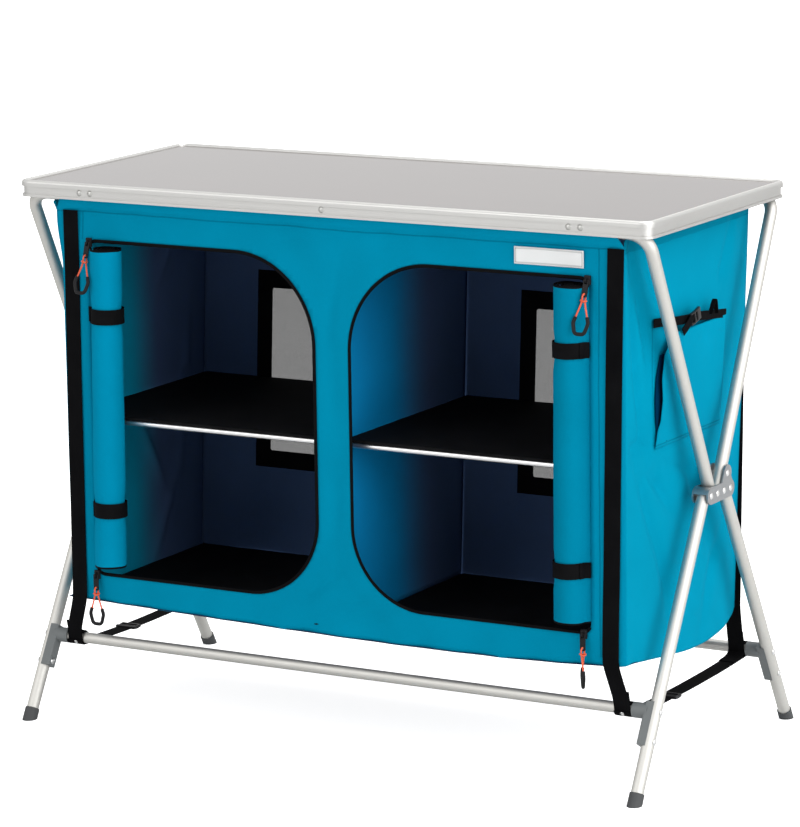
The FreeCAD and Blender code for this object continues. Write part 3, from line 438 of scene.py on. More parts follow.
def grid_piece(name, columns, rows, place, finishes, keep=None, turned_over=False):
    """A cloth grid whose points come from place(column, row)."""
    vertices = [place(c, r) for r in rows for c in columns]
    width = len(columns)
    faces = []
    for j in range(len(rows) - 1):
        for i in range(width - 1):
            if keep and not keep((columns[i] + columns[i + 1]) / 2, (rows[j] + rows[j + 1]) / 2):
                continue
            a = j * width + i
            face = (a, a + 1, a + width + 1, a + width)
            faces.append(face[::-1] if turned_over else face)
    used = sorted({v for f in faces for v in f})
    number = {v: n for n, v in enumerate(used)}
    faces = [tuple(number[v] for v in f) for f in faces]
    return piece_from(name, [vertices[v] for v in used], faces, finishes)


def trimmed(piece, gap, reach):
    """Move the points along the piece's cut edge onto the outline of the gap."""
    met = {}
    for face in piece.data.polygons:
        for edge in face.edge_keys:
            met[edge] = met.get(edge, 0) + 1
    for number in {v for edge, count in met.items() if count == 1 for v in edge}:
        spot = piece.data.vertices[number].co
        distance, way = gap(spot.x, spot.z)
        if abs(distance) < reach:
            spot.x -= way.x * distance
            spot.z -= way.y * distance


door_outer = 0.405
door_inner = 0.028
door_top = 0.717
door_bottom = 0.222
door_top_radius = 0.130
door_bottom_radius = 0.115
door_outer_radius = 0.014


def rounded_gap(u, z, low_u, high_u, low_z, high_z, radii):
    """How far a point is outside a gap with round corners, and the way out of it. The
    radii are for the corners at low u below and above, then at high u below and above."""
    du = u - (low_u + high_u) / 2
    dz = z - (low_z + high_z) / 2
    radius = radii[2 * (du > 0) + (dz > 0)]
    qu = abs(du) - (high_u - low_u) / 2 + radius
    qz = abs(dz) - (high_z - low_z) / 2 + radius
    if qu > 0 and qz > 0:
        distance, way = math.hypot(qu, qz) - radius, Vector((qu, qz)).normalized()
    elif qu > qz:
        distance, way = qu - radius, Vector((1, 0))
    else:
        distance, way = qz - radius, Vector((0, 1))
    return distance, Vector((math.copysign(way.x, du), math.copysign(way.y, dz)))


door_radii = (door_bottom_radius, door_top_radius, door_outer_radius, door_outer_radius)


def doorway(x, z):
    side = 1 if x > cabinet_middle_x else -1
    distance, way = rounded_gap(side * (x - cabinet_middle_x), z, door_inner, door_outer,
                                door_bottom, door_top, door_radii)
    return distance, Vector((side * way.x, way.y))


def ripple(x, y, z, scale, seed):
    """Slow noise that gives cloth its small swells."""
    return noise.noise(Vector((x * scale, y * scale, z * scale)) + Vector((seed, seed * 0.7, -seed)))


def eased_step(share):
    share = min(1.0, max(0.0, share))
    return share * share * (3 - 2 * share)


# Creases that the cloth has kept from its folding: middle x and z, slope in degrees, half
# length, half width and depth.
front_creases = [(-0.035, 0.232, 33, 0.055, 0.006, 0.0040), (0.002, 0.208, 24, 0.060, 0.007, 0.0040),
                 (0.060, 0.205, 15, 0.070, 0.006, 0.0030), (-0.010, 0.300, 70, 0.060, 0.007, 0.0026),
                 (0.020, 0.420, 82, 0.080, 0.008, 0.0022), (-0.250, 0.205, 8, 0.080, 0.006, 0.0022),
                 (0.300, 0.203, 6, 0.090, 0.006, 0.0024), (0.005, 0.640, 78, 0.070, 0.009, 0.0022),
                 (-0.060, 0.738, 4, 0.090, 0.006, 0.0020), (0.180, 0.735, -4, 0.080, 0.006, 0.0020)]


def creased(x, z, creases):
    depth = 0.0
    for middle_x, middle_z, slope, reach, width, deep in creases:
        along_x, along_z = math.cos(math.radians(slope)), math.sin(math.radians(slope))
        along = (x - middle_x) * along_x + (z - middle_z) * along_z
        across = (z - middle_z) * along_x - (x - middle_x) * along_z
        depth += deep * math.exp(-(along / reach) ** 2 - (across / width) ** 2)
    return depth


def front_give(x, z):
    """How far the front wall sinks inward between its seams."""
    distance, way = doorway(x, z)
    free = min(1, max(0, distance - 0.006) / 0.03) * min(1, max(0, min(x - cabinet_left, cabinet_right - x)) / 0.04)
    swell = 0.5 + 0.5 * ripple(x, 0, z * 0.6, 9.0, 3.1)
    drag = 0.5 + 0.5 * math.sin(70 * (x + 0.35 * z) + 3 * ripple(x, 0, z, 5.0, 8.0))
    puckers = 0.5 + 0.5 * ripple(x, 0, z * 0.3, 42.0, 6.3)
    near_hem = max(0, 1 - abs(z - cabinet_bottom_z) / 0.05) + max(0, 1 - abs(z - hem_z) / 0.06)
    kept = creased(x, z, front_creases)
    return free * (0.0026 * swell + 0.0016 * drag + kept) + min(1, free * 3 + 0.2) * 0.0018 * puckers * near_hem


def front_edge_pull(z):
    """The strap draws the left edge of the front wall in below its hem."""
    return 0.008 * eased_step((0.748 - z) / 0.075)


def front_sag(x):
    share = (x - cabinet_left) / (cabinet_right - cabinet_left)
    return 0.0115 * max(0.0, math.sin(math.pi * min(1.0, max(0.0, share)) ** 1.6)) ** 0.6


wall_pitch = 0.0065


def front_place(x, row):
    if row <= hem_z:
        z = row - front_sag(x) * eased_step((0.216 - row) / 0.034)
        x += front_edge_pull(row) * max(0.0, 1 - (x - cabinet_left) / 0.03)
        return (x, front_y + front_give(x, row), z)
    return sleeve_place(x, row - hem_z, -1, front_y)


sleeve_climb = 0.0155
sleeve_round = 0.0430


def sleeve_place(x, height, side, wall_y):
    """Cloth above the hem seam: up to the bar, round it and back down to the seam."""
    cut = hem_cut * (eased_step((height - 0.008) / 0.024) if side > 0 else min(1.0, height / 0.028))
    x = cabinet_middle_x + (x - cabinet_middle_x) * (1 - cut / 0.458)
    if height < sleeve_climb:
        share = height / sleeve_climb
        swell = 0.0012 * math.sin(math.pi * share) * ripple(x, 0, 0, 14.0, 5.5)
        out = wall_y + (side * (bar_y + sleeve_radius) - wall_y) * share ** 1.4
        return (x, out + side * abs(swell), hem_z + share * (bar_z - hem_z - 0.0035))
    angle = math.radians(-20 + 265 * (height - sleeve_climb) / sleeve_round)
    return (x, side * (bar_y + sleeve_radius * math.cos(angle)), bar_z + sleeve_radius * math.sin(angle))


columns = steps([cabinet_left, cabinet_middle_x - door_outer, cabinet_middle_x - door_inner,
                 cabinet_middle_x + door_inner, cabinet_middle_x + door_outer, cabinet_right], wall_pitch)
rows = steps([cabinet_bottom_z, door_bottom, door_top, hem_z], wall_pitch)
rows += [hem_z + (sleeve_climb + sleeve_round) * (i + 1) / 24 for i in range(24)]
front_wall = grid_piece("front_wall_cloth", columns, rows, front_place, (front_cloth, front_inside_shade),
                        keep=lambda x, z: z > hem_z or doorway(x, z)[0] > 0)
trimmed(front_wall, doorway, wall_pitch)
thickened(front_wall, cloth_thickness, 0.0, 1)
stands_in(front_wall, "cabinet_front", "front_wall")

# A coil zip runs round each doorway from the outer top corner to the outer bottom corner.
# Its tape is sewn over the cloth's edge and its teeth stand along the inner side.
def cord_black(name, roughness=0.7, grain=(500, 500, 500), depth=0.0001, tone_up=0.008):
    """Black nylon, with a grain that shows as threads or ribs."""
    finish = bpy.data.materials.new(name)
    nodes, join, add = wired(finish)
    shader = nodes["Principled BSDF"]
    shader.inputs["Specular IOR Level"].default_value = 0.03
    place = add("ShaderNodeTexCoord")
    stretch = add("ShaderNodeMapping", Scale=grain)
    threads = add("ShaderNodeTexNoise", Scale=1.0, Detail=2.0)
    dust = add("ShaderNodeTexNoise", Scale=30.0, Detail=4.0)
    tone = two_tones(add, (0.0015, 0.0015, 0.002), (tone_up, tone_up, tone_up * 1.1))
    gloss = add("ShaderNodeMapRange", To_Min=roughness - 0.08, To_Max=roughness + 0.08)
    bump = add("ShaderNodeBump", Strength=0.7, Distance=depth)
    join(place, "Object", stretch, "Vector")
    join(place, "Object", dust, "Vector")
    join(stretch, "Vector", threads, "Vector")
    join(dust, "Fac", tone, "Fac")
    join(dust, "Fac", gloss, "Value")
    join(tone, "Color", shader, "Base Color")
    join(gloss, "Result", shader, "Roughness")
    join(threads, "Fac", bump, "Height")
    join(bump, "Normal", shader, "Normal")
    return finish


def arc_outline(corners, pitch, closed=False):
    """Points and outward ways along arcs given as centre u, centre z, radius, start, end."""
    marks = []
    for u, z, radius, start, end in corners:
        count = max(2, round(math.radians(end - start) * radius / pitch))
        for i in range(count + 1):
            angle = math.radians(start + (end - start) * i / count)
            way = Vector((math.cos(angle), math.sin(angle)))
            marks.append((Vector((u, z)) + way * radius, way))
    if closed:
        marks.append(marks[0])
    outline = [marks[0]]
    for spot, way in marks[1:]:
        last = outline[-1][0]
        count = max(1, round((spot - last).length / pitch))
        outline += [(last.lerp(spot, (i + 1) / count), way) for i in range(count)]
    return outline


zip_black = cord_black("zip_black", 0.6, tone_up=0.006)
zip_face_y = -0.2080
tooth_pitch = 0.0016
zip_profile = [(-0.0030, 0.0004), (-0.0026, 0.0011), (-0.0020, 0.0014), (-0.0014, 0.0011),
               (-0.0009, 0.0005), (0.0003, 0.0004), (0.0015, 0.0003)]
zip_corners = [
    (door_outer - door_outer_radius, door_top - door_outer_radius, door_outer_radius, 21, 90),
    (door_inner + door_top_radius, door_top - door_top_radius, door_top_radius, 90, 180),
    (door_inner + door_bottom_radius, door_bottom + door_bottom_radius, door_bottom_radius, 180, 270),
    (door_outer - door_outer_radius, door_bottom + door_outer_radius, door_outer_radius, 270, 339)]
zip_outline = arc_outline(zip_corners, tooth_pitch / 2)
for name, side in (("left_zip", -1), ("right_zip", 1)):
    def zip_place(column, row):
        reach, rise = zip_profile[column]
        spot, way = zip_outline[row]
        spot = spot + way * reach
        x = cabinet_middle_x + side * spot.x
        if 1 <= column <= 3:
            rise += 0.0003 * (row % 2)
        return (x, zip_face_y - rise, spot.y)
    coil = grid_piece(name + "_coil", range(len(zip_profile)), range(len(zip_outline)), zip_place,
                      (zip_black,), turned_over=side > 0)
    thickened(coil, 0.0005, -1.0)
    stands_in(coil, "cabinet_front", name)

# Each door is rolled up round its free edge and stands at the outer side of its doorway.
# The door's zip tape shows as a black edge at both ends, and two bands draw the roll in.
roll_pitch = 0.0050
roll_turns = 4
roll_out = 0.0248
roll_axis_u = 0.3725
roll_axis_y = -0.210
roll_bottom = 0.237
roll_top = 0.707
# The roll's inside face is navy painted shade.
roll_inside_shade = cloth_finish("roll_inside_shade", shade_navy, "X", roughness=0.6)
band_black = cord_black("band_black", 0.75, (300, 300, 60), 0.0002)


def drawn_in(z, band_heights):
    """The roll's narrowing under its two bands."""
    nearest = min(abs(z - height) for height in band_heights)
    return 1 - 0.074 * (1 - eased_step((nearest - 0.010) / 0.022))


# The right roll's blue is darker than the left's, painted shade against the stronger light on it.
for name, side, seed, band_heights, shifts, roll_blue_with_shade in (
        ("left_door_roll", -1, 2.0, (0.609, 0.323), (0.0062, -0.0005), (0.0, 0.220, 0.372)),
        ("right_door_roll", 1, 7.0, (0.618, 0.312), (0.0012, 0.0042), (0.0, 0.176, 0.29))):
    roll_cloth = cloth_finish(name + "_blue", roll_blue_with_shade, "X")

    def axis_u(z):
        """The roll leans: its axis shifts outward by a little more at one end."""
        return roll_axis_u + shifts[0] + (shifts[1] - shifts[0]) * (z - roll_bottom) / (roll_top - roll_bottom)

    def roll_place(column, row):
        turn = 2 * math.pi * roll_turns * column
        lumps = ripple(math.cos(turn), math.sin(turn), row * 9, 1.6, seed)
        radius = (roll_out - roll_pitch * turn / (2 * math.pi)) * drawn_in(row, band_heights) + 0.0007 * lumps
        uneven = 0.0016 * ripple(turn, 0, 0, 0.7, seed + 3) * abs(2 * (row - roll_bottom) / (roll_top - roll_bottom) - 1)
        if column == 0:
            return (cabinet_middle_x + side * door_outer, front_y, row)
        x = cabinet_middle_x + side * (axis_u(row) + radius * math.cos(turn))
        return (x, roll_axis_y - radius * math.sin(turn), row + uneven)
    columns = [i / 128 for i in range(129)]
    rows = steps([roll_bottom, roll_bottom + 0.0028, roll_top - 0.0028, roll_top], 0.0085)
    roll = grid_piece(name + "_cloth", columns, rows, roll_place,
                      (roll_cloth, roll_inside_shade, zip_black, zip_black), turned_over=side > 0)
    edge_low = roll_bottom + 0.0026
    edge_high = roll_top - 0.0026
    for face in roll.data.polygons:
        if not edge_low < sum(roll.data.vertices[v].co.z for v in face.vertices) / 4 < edge_high:
            face.material_index = 2
    thickened(roll, cloth_thickness, -1.0, 1)
    stands_in(roll, "cabinet_front", name)
    for height in band_heights:
        def band_place(column, row):
            turn = math.radians(4 + 388 * column)
            lap = 0.0015 * eased_step((column - 0.86) / 0.08)
            radius = 0.0242 + lap + 0.0003 * ripple(column * 9, row, height, 1.0, seed)
            if column == 0:
                return (cabinet_middle_x + side * (door_outer + 0.001), front_y - 0.0030, height + row)
            x = cabinet_middle_x + side * (axis_u(height) + radius * math.cos(turn))
            y = roll_axis_y - radius * math.sin(turn)
            return (x, y, height + row + 0.0006 * ripple(column * 5, 0, height, 1.0, seed))
        band = grid_piece(f"{name}_band_{round(height * 1000)}", [i / 60 for i in range(61)],
                          [-0.011, -0.0105, -0.0055, 0, 0.0055, 0.0105, 0.011], band_place, (band_black,),
                          turned_over=side < 0)
        thickened(band, 0.0011, 1.0)
        stands_in(band, "cabinet_front", "roll_straps")

# A small woven label is sewn on at the right, under the hem. It is left plain, with a
# turned edge and one row of stitches round it.
# Its row of stitches is drawn with painted shade along it.
label_cloth = cloth_finish("label_cloth", (0.74, 0.75, 0.75), "X",
                           [("Z", 0.7312, "X", 0.3, 0.402), ("Z", 0.7508, "X", 0.3, 0.402),
                            ("X", 0.3002, "Z", 0.7312, 0.7508), ("X", 0.4018, "Z", 0.7312, 0.7508)],
                           thread=0.0005, variation=0.03)


def label_place(x, z):
    rim = min(x - 0.298, 0.404 - x, z - 0.729, 0.753 - z)
    return (x, front_y - 0.0009 - 0.0005 * eased_step(rim / 0.0015) + 0.0002 * ripple(x, 0, z, 60, 1.5), z)


label = grid_piece("front_label_cloth", steps([0.298, 0.2995, 0.4025, 0.404], 0.004),
                   steps([0.729, 0.7305, 0.7515, 0.753], 0.003), label_place, (label_cloth,))
thickened(label, 0.0005)
stands_in(label, "cabinet_front", "front_label")

# Black webbing runs down the front and the back wall and loops round the rails, so that the
# cabinet is held taut. A snap on each front strap closes its loop.
webbing = cord_black("webbing", 0.8, (900, 60, 60), 0.0004, 0.006)
rail_y = 0.18554
rail_z = 0.116
loop_radius = 0.0089


def round_the_corners(points, pitch, rounds=3):
    """The path through the points with its corners cut round, in even steps."""
    path = [Vector(p) for p in points]
    for _ in range(rounds):
        cut = [path[0]]
        for a, b in zip(path, path[1:]):
            reach = min(0.25, 0.006 / max((b - a).length, 1e-6))
            cut += [a.lerp(b, reach), a.lerp(b, 1 - reach)]
        path = cut + [path[-1]]
    even = [path[0]]
    for a, b in zip(path, path[1:]):
        count = int((b - a).length / pitch) + 1
        even += [a.lerp(b, (i + 1) / count) for i in range(count)]
    return [p for i, p in enumerate(even) if i == 0 or (p - even[i - 1]).length > 1e-6]


def strap_piece(name, points, across, width, thickness, finish, wander=0.0007, seed=1.0):
    """Webbing along a path. It drifts a little to each side and its edges are rounded."""
    path = round_the_corners(points, 0.006)
    across = Vector(across)

    def place(column, row):
        spot = path[row]
        before, after = path[max(0, row - 1)], path[min(len(path) - 1, row + 1)]
        normal = across.cross(after - before).normalized()
        drift = wander * ripple(spot.x, spot.y, spot.z, 7.0, seed)
        cup = 0.0004 * (abs(column) * 2) ** 2 * ripple(spot.x, spot.y, spot.z, 12.0, seed + 4)
        return spot + across * (column * width + drift) + normal * cup
    piece = grid_piece(name, [-0.5, -0.47, -0.25, 0, 0.25, 0.47, 0.5], range(len(path)), place, (finish,))
    return plumped(piece, thickness, 0.3, 1)


def looped_strap(name, places, top, fold, centre_y):
    """Down the wall from top to fold, then round the rail and back up for a seam. The
    places are its middle at its top, at the fold and on the rail."""
    centre = Vector((0, centre_y, rail_z))
    towards = centre - fold
    angle = math.asin(loop_radius / towards.length)
    way = Matrix.Rotation(-angle, 3, "X") @ towards.normalized()
    touch = fold + way * (towards.length * math.cos(angle))
    inward = (centre - touch).normalized()
    start = math.atan2(touch.z - rail_z, touch.y - centre_y)
    ring = [centre + Vector((0, math.cos(start + t), math.sin(start + t))) * loop_radius
            for t in (math.radians(12 * i) for i in range(1, 24))]
    doubled = [touch + inward * 0.0021 - way * 0.010, touch + inward * 0.0016 - way * 0.030]
    level = touch.lerp(fold, 0.016 / (fold.z - touch.z))
    points = [top + Vector((places[0], 0, 0)), fold + Vector((places[1], 0, 0))]
    points += [p + Vector((places[2], 0, 0)) for p in [level, touch] + ring + doubled]
    return strap_piece(name, points, (1, 0, 0), 0.025, 0.0012, webbing, seed=places[0] * 9)


def snap_place(column, row):
    """The domed head of a snap, from its middle outwards, on the outside of the loop."""
    reach, rise = [(0, 0.0020), (0.0014, 0.0019), (0.0026, 0.0014), (0.0031, 0.0009), (0.0038, 0.0012),
                   (0.0044, 0.0009), (0.0045, 0.0)][column]
    around = 2 * math.pi * row / 24
    outward = Vector((0, math.cos(math.radians(222)), math.sin(math.radians(222))))
    level = outward.cross(Vector((1, 0, 0)))
    spot = Vector((0, -rail_y, rail_z)) + outward * (0.0095 + rise)
    return spot + Vector((1, 0, 0)) * reach * math.cos(around) + level * reach * math.sin(around)


def back_y(z):
    """The inner face of the back wall, which leans back towards its top."""
    return 0.160 + (z - 0.182) * (0.199 - 0.160) / (0.772 - 0.182)


def back_edge_pull(z):
    """How far the right edge of the back wall is drawn in."""
    return 0.009 - 0.004 * eased_step((z - 0.36) / 0.36)


for name, places in (("left_front_strap", (-0.4263, -0.4302, -0.4496)),
                     ("right_front_strap", (0.4525, 0.4415, 0.452))):
    strap = looped_strap(name, places, Vector((0, -0.2090, 0.759)), Vector((0, -0.2090, 0.182)), -rail_y)
    snap = grid_piece(name + "_snap", range(7), range(25), snap_place, (rivet_metal,), turned_over=True)
    snap.data.transform(Matrix.Translation((places[2], 0, 0)))
    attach(snap, "cabinet_front")
    stands_in(strap, "cabinet_front", "front_straps")
for name, places in (("left_back_strap", (-0.431, -0.431, -0.431)),
                     ("right_back_strap", (0.4445, 0.452, 0.452))):
    strap = looped_strap(name, places, Vector((0, back_y(0.759) + 0.0021, 0.759)),
                         Vector((0, back_y(0.182) + 0.0021, 0.182)), rail_y)
    stands_in(strap, "cabinet_back", "back_straps")

# Bright steel rods carry the front edge of each shelf. The shelves and the floor boards
# are stiff sheets sewn into coarse black cloth.
bright_steel = metal_finish("bright_steel", (0.74, 0.74, 0.74), 0.34, (20, 600, 600))
for rod in ("left_shelf_rod", "right_shelf_rod"):
    dress(rod, bright_steel)
board_black = cord_black("board_black", 0.75, (420, 420, 420), 0.0005, 0.012)
compartments = (("left", -0.4458, 0.0030), ("right", 0.0110, 0.4598))


def sewn_board(name, x0, x1, y0, y1, z, thickness, sag, seed):
    """A thin board in a cloth cover, which dips between its edges."""
    def place(x, y):
        share_x, share_y = (x - x0) / (x1 - x0), (y - y0) / (y1 - y0)
        dip = sag * 16 * share_x * (1 - share_x) * share_y * (1 - share_y)
        if x1 > 0.4:
            x -= back_edge_pull(z) * eased_step((share_x - 0.85) / 0.15) * eased_step((share_y - 0.7) / 0.3)
        else:
            x += 0.003 * eased_step((0.08 - share_x) / 0.08) * eased_step((0.25 - share_y) / 0.25)
        return (x, y, z - dip + 0.0004 * ripple(x, y, 0, 22, seed))
    board = grid_piece(name, steps([x0, x1], 0.012), steps([y0, y1], 0.012), place, (board_black,))
    return plumped(board, thickness, 0.4, 3)


middle_pieces = []
for side, x0, x1 in compartments:
    shelf = sewn_board(side + "_shelf_cloth", x0, x1, -0.184, back_y(0.453) - 0.0015, 0.453, 0.004, 0.0012, x1)
    stands_in(shelf, "cabinet_middle", side + "_shelf")
    board = sewn_board(side + "_floor_board_cloth", x0, x1, -0.2028, 0.156, 0.1855, 0.0038, 0, x0)
    stands_in(board, "cabinet_middle", side + "_floor_board")
    middle_pieces += [shelf, board]

# A black slider waits at each end of both zips. Its pull is a moulded tab with a hitched
# orange cord, and the cord's ends sit in a bent black grip.
pull_plastic = plastic_finish("pull_plastic", (0.008, 0.008, 0.009), 0.45, 0.12)
dress("zip_sliders", pull_plastic)
orange_cord = bpy.data.materials.new("orange_cord")
nodes, join, add = wired(orange_cord)
shader = nodes["Principled BSDF"]
shader.inputs["Roughness"].default_value = 0.65
place = add("ShaderNodeTexCoord")
braid = add("ShaderNodeTexWave", Scale=260.0, Distortion=2.0)
braid.bands_direction = "DIAGONAL"
tone = two_tones(add, (0.60, 0.055, 0.02), (0.90, 0.16, 0.06))
bump = add("ShaderNodeBump", Strength=0.8, Distance=0.0002)
join(place, "Object", braid, "Vector")
join(braid, "Fac", tone, "Fac")
join(tone, "Color", shader, "Base Color")
join(braid, "Fac", bump, "Height")
join(bump, "Normal", shader, "Normal")
pull_y = -0.2147
cord_radius = 0.0012
cord_route = [(-8.6, 0, -50.0), (-1.7, 0, -29.5), (-1.3, -2.9, -23.6), (0, -3.0, -18.4),
              (0, 3.0, -18.4), (1.3, 2.9, -23.6), (1.7, 0, -29.5), (8.6, 0, -50.0)]
for name, x, z, tilt, turn in (("left_top_pull", -0.3945, 0.714, 18, 0), ("left_bottom_pull", -0.397, 0.2215, 0, 0),
                               ("right_top_pull", 0.411, 0.714, 18, 0), ("right_bottom_pull", 0.402, 0.2215, 0, 120)):
    hang = Matrix.Translation((x, pull_y, z)) @ Matrix.Rotation(math.radians(-tilt), 4, "X")
    spin = Matrix.Rotation(math.radians(turn), 4, "Z")
    route = [Vector(p) * 0.001 for p in cord_route]
    route[0], route[-1] = spin @ route[0], spin @ route[-1]
    curve = bpy.data.curves.new(name + "_braid", "CURVE")
    curve.dimensions = "3D"
    curve.bevel_depth = cord_radius
    curve.bevel_resolution = 5
    curve.resolution_u = 10
    curve.use_fill_caps = True
    curve.materials.append(orange_cord)
    spline = curve.splines.new("NURBS")
    spline.points.add(len(route) - 1)
    for point, spot in zip(spline.points, route):
        point.co = (hang @ spot).to_tuple() + (1,)
    spline.order_u = 3
    spline.use_endpoint_u = True
    braided = bpy.data.objects.new(name + "_braid", curve)
    scene.collection.objects.link(braided)

    def hitch_place(column, row):
        around, ring = 2 * math.pi * row / 28, 2 * math.pi * column / 10
        radius = 0.0034 + cord_radius * math.cos(ring) + 0.0006 * abs(math.cos(around))
        rise = cord_radius * math.sin(ring) + 0.0008 * math.sin(2 * around)
        return hang @ Vector((radius * math.cos(around), radius * math.sin(around), -0.0283 + rise))
    hitch = grid_piece(name + "_hitch", range(11), range(29), hitch_place, (orange_cord,))
    for piece in (braided, hitch):
        stands_in(piece, name, name + "_cord")
    dress(name + "_grip", pull_plastic)

# The back wall hangs in a sleeve on the back bar and has two net windows. A black band with
# square corners is sewn round each window on the inside.
back_seams = [("Z", 0.7570, "X", -1, 1)]
back_cloth = cloth_finish("back_cloth", blue, "X", back_seams)
# The back wall's inside face is navy painted shade.
back_inside_shade = cloth_finish("back_inside_shade", shade_navy, "X", roughness=0.6)
window_inner, window_outer = 0.105, 0.348
window_bottom, window_top = 0.329, 0.6045
window_corner = 0.016


def window_gap(x, z):
    side = 1 if x > cabinet_middle_x else -1
    distance, way = rounded_gap(side * (x - cabinet_middle_x), z, window_inner, window_outer,
                                window_bottom, window_top, (window_corner,) * 4)
    return distance, Vector((side * way.x, way.y))


def back_place(x, row):
    if row > hem_z:
        return sleeve_place(x, row - hem_z, 1, back_y(hem_z) + 0.0006)
    distance, way = window_gap(x, row)
    inside_straps = max(0, min(x - cabinet_left, cabinet_right - x) - 0.037)
    free = min(1, max(0, distance - 0.014) / 0.04) * min(1, inside_straps / 0.05)
    swell = 0.5 + 0.5 * ripple(x, 1, row * 0.2, 15.0, 4.4)
    x -= back_edge_pull(row) * max(0.0, 1 - (cabinet_right - x) / 0.06)
    return (x, back_y(row) + 0.0006 + free * 0.005 * swell, row)


columns = steps([cabinet_left, cabinet_middle_x - window_outer, cabinet_middle_x - window_inner,
                 cabinet_middle_x + window_inner, cabinet_middle_x + window_outer, cabinet_right], wall_pitch)
rows = steps([cabinet_bottom_z, window_bottom, window_top, hem_z], wall_pitch)
rows += [hem_z + (sleeve_climb + sleeve_round) * (i + 1) / 24 for i in range(24)]
back_wall = grid_piece("back_wall_cloth", columns, rows, back_place, (back_cloth, back_inside_shade),
                       keep=lambda x, z: z > hem_z or window_gap(x, z)[0] > 0, turned_over=True)
trimmed(back_wall, window_gap, wall_pitch)
thickened(back_wall, cloth_thickness, 0.0, 1)
stands_in(back_wall, "cabinet_back", "back_wall")

net_black = bpy.data.materials.new("net_black")
nodes, join, add = wired(net_black)
shader = nodes["Principled BSDF"]
shader.inputs["Roughness"].default_value = 0.7
shader.inputs["Specular IOR Level"].default_value = 0.03
place = add("ShaderNodeTexCoord")
across_net = add("ShaderNodeTexWave", Scale=2 * math.pi / (20 * 0.0010))
up_net = add("ShaderNodeTexWave", Scale=2 * math.pi / (20 * 0.0010))
up_net.bands_direction = "Z"
cloudy = add("ShaderNodeTexNoise", Scale=60.0, Detail=3.0)
tone = two_tones(add, (0.006, 0.006, 0.007), (0.03, 0.03, 0.032))
open_both = add("ShaderNodeMath")
open_both.operation = "MULTIPLY"
holes = add("ShaderNodeMapRange", To_Min=1.0, To_Max=0.55)
for texture in (across_net, up_net, cloudy):
    join(place, "Object", texture, "Vector")
join(across_net, "Fac", open_both, 0)
join(up_net, "Fac", open_both, 1)
join(open_both, 0, holes, "Value")
join(cloudy, "Fac", tone, "Fac")
join(tone, "Color", shader, "Base Color")
join(holes, "Result", shader, "Alpha")
border_black = cord_black("border_black", 0.75, (60, 60, 300), 0.0002)
half_way = (window_inner + window_outer) / 2
window_corners = [
    (window_outer - window_corner, window_top - window_corner, window_corner, 0, 90),
    (window_inner + window_corner, window_top - window_corner, window_corner, 90, 180),
    (window_inner + window_corner, window_bottom + window_corner, window_corner, 180, 270),
    (window_outer - window_corner, window_bottom + window_corner, window_corner, 270, 360)]
window_outline = arc_outline(window_corners, 0.006, closed=True)
for name, side in (("left", -1), ("right", 1)):
    def net_place(column, row):
        spot, way = window_outline[row]
        spot = Vector((half_way, (window_bottom + window_top) / 2)).lerp(spot, column)
        return (cabinet_middle_x + side * spot.x, back_y(spot.y) + 0.0004 + 0.0012 * (1 - column ** 4), spot.y)
    net = grid_piece(name + "_window_net", [0.02, 0.25, 0.5, 0.7, 0.85, 0.95, 1.0], range(len(window_outline)),
                     net_place, (net_black,))
    stands_in(net, "cabinet_back", name + "_window_mesh")

    def border_place(column, row):
        spot, way = window_outline[row]
        if column > 0:
            spot = spot + way * (window_corner + column) / max(abs(way.x), abs(way.y)) - way * window_corner
        else:
            spot = spot + way * column
        return (cabinet_middle_x + side * spot.x, back_y(spot.y) - 0.0004 - 0.0003 * (abs(column) < 0.0127), spot.y)
    border = grid_piece(name + "_window_border", [-0.013, -0.0125, 0, 0.0125, 0.013], range(len(window_outline)),
                        border_place, (border_black,), turned_over=side < 0)
    thickened(border, 0.0008)
    stands_in(border, "cabinet_back", "window_borders")

# The side walls are sewn to the front and back walls and hang a little slack. They sag between
# their bottom corners, and creases fan out from the top corners and run below the pocket.
side_blue = (0.0, 0.228, 0.360)
# The side walls' inside face is painted: a light teal for the light that falls in near the front, fading to navy
# painted shade towards the back.
side_inside_lit_to_shade = cloth_finish("side_inside_lit_to_shade", (0.004, 0.31, 0.49), "Y", roughness=0.6, shade_fade=(shade_navy, "Y", -0.03, 0.06))
# A darker blue for the band under the rim, painted shadow from the rim.
side_rim_shade = cloth_finish("side_rim_shade", (0.0, 0.18, 0.285), "Y")
wall_top = 0.788
wall_shoulder = 0.769
# Middle y and z, slope in degrees, half length, half width and depth.
side_creases = [(-0.176, 0.62, -83, 0.150, 0.0085, 0.0080), (-0.150, 0.64, -72, 0.140, 0.009, 0.0065),
                (-0.118, 0.685, -52, 0.070, 0.008, 0.0057), (-0.165, 0.475, -14, 0.045, 0.009, 0.0087),
                (-0.120, 0.430, -48, 0.070, 0.011, 0.0091), (-0.135, 0.375, -63, 0.080, 0.011, 0.0068),
                (-0.040, 0.435, -24, 0.060, 0.010, 0.0057), (0.020, 0.360, -60, 0.080, 0.012, 0.0065),
                (-0.090, 0.280, -76, 0.070, 0.013, 0.0057), (0.060, 0.260, 58, 0.060, 0.012, 0.0053),
                (0.120, 0.440, 82, 0.110, 0.012, 0.0057), (0.100, 0.690, 62, 0.090, 0.011, 0.0049)]


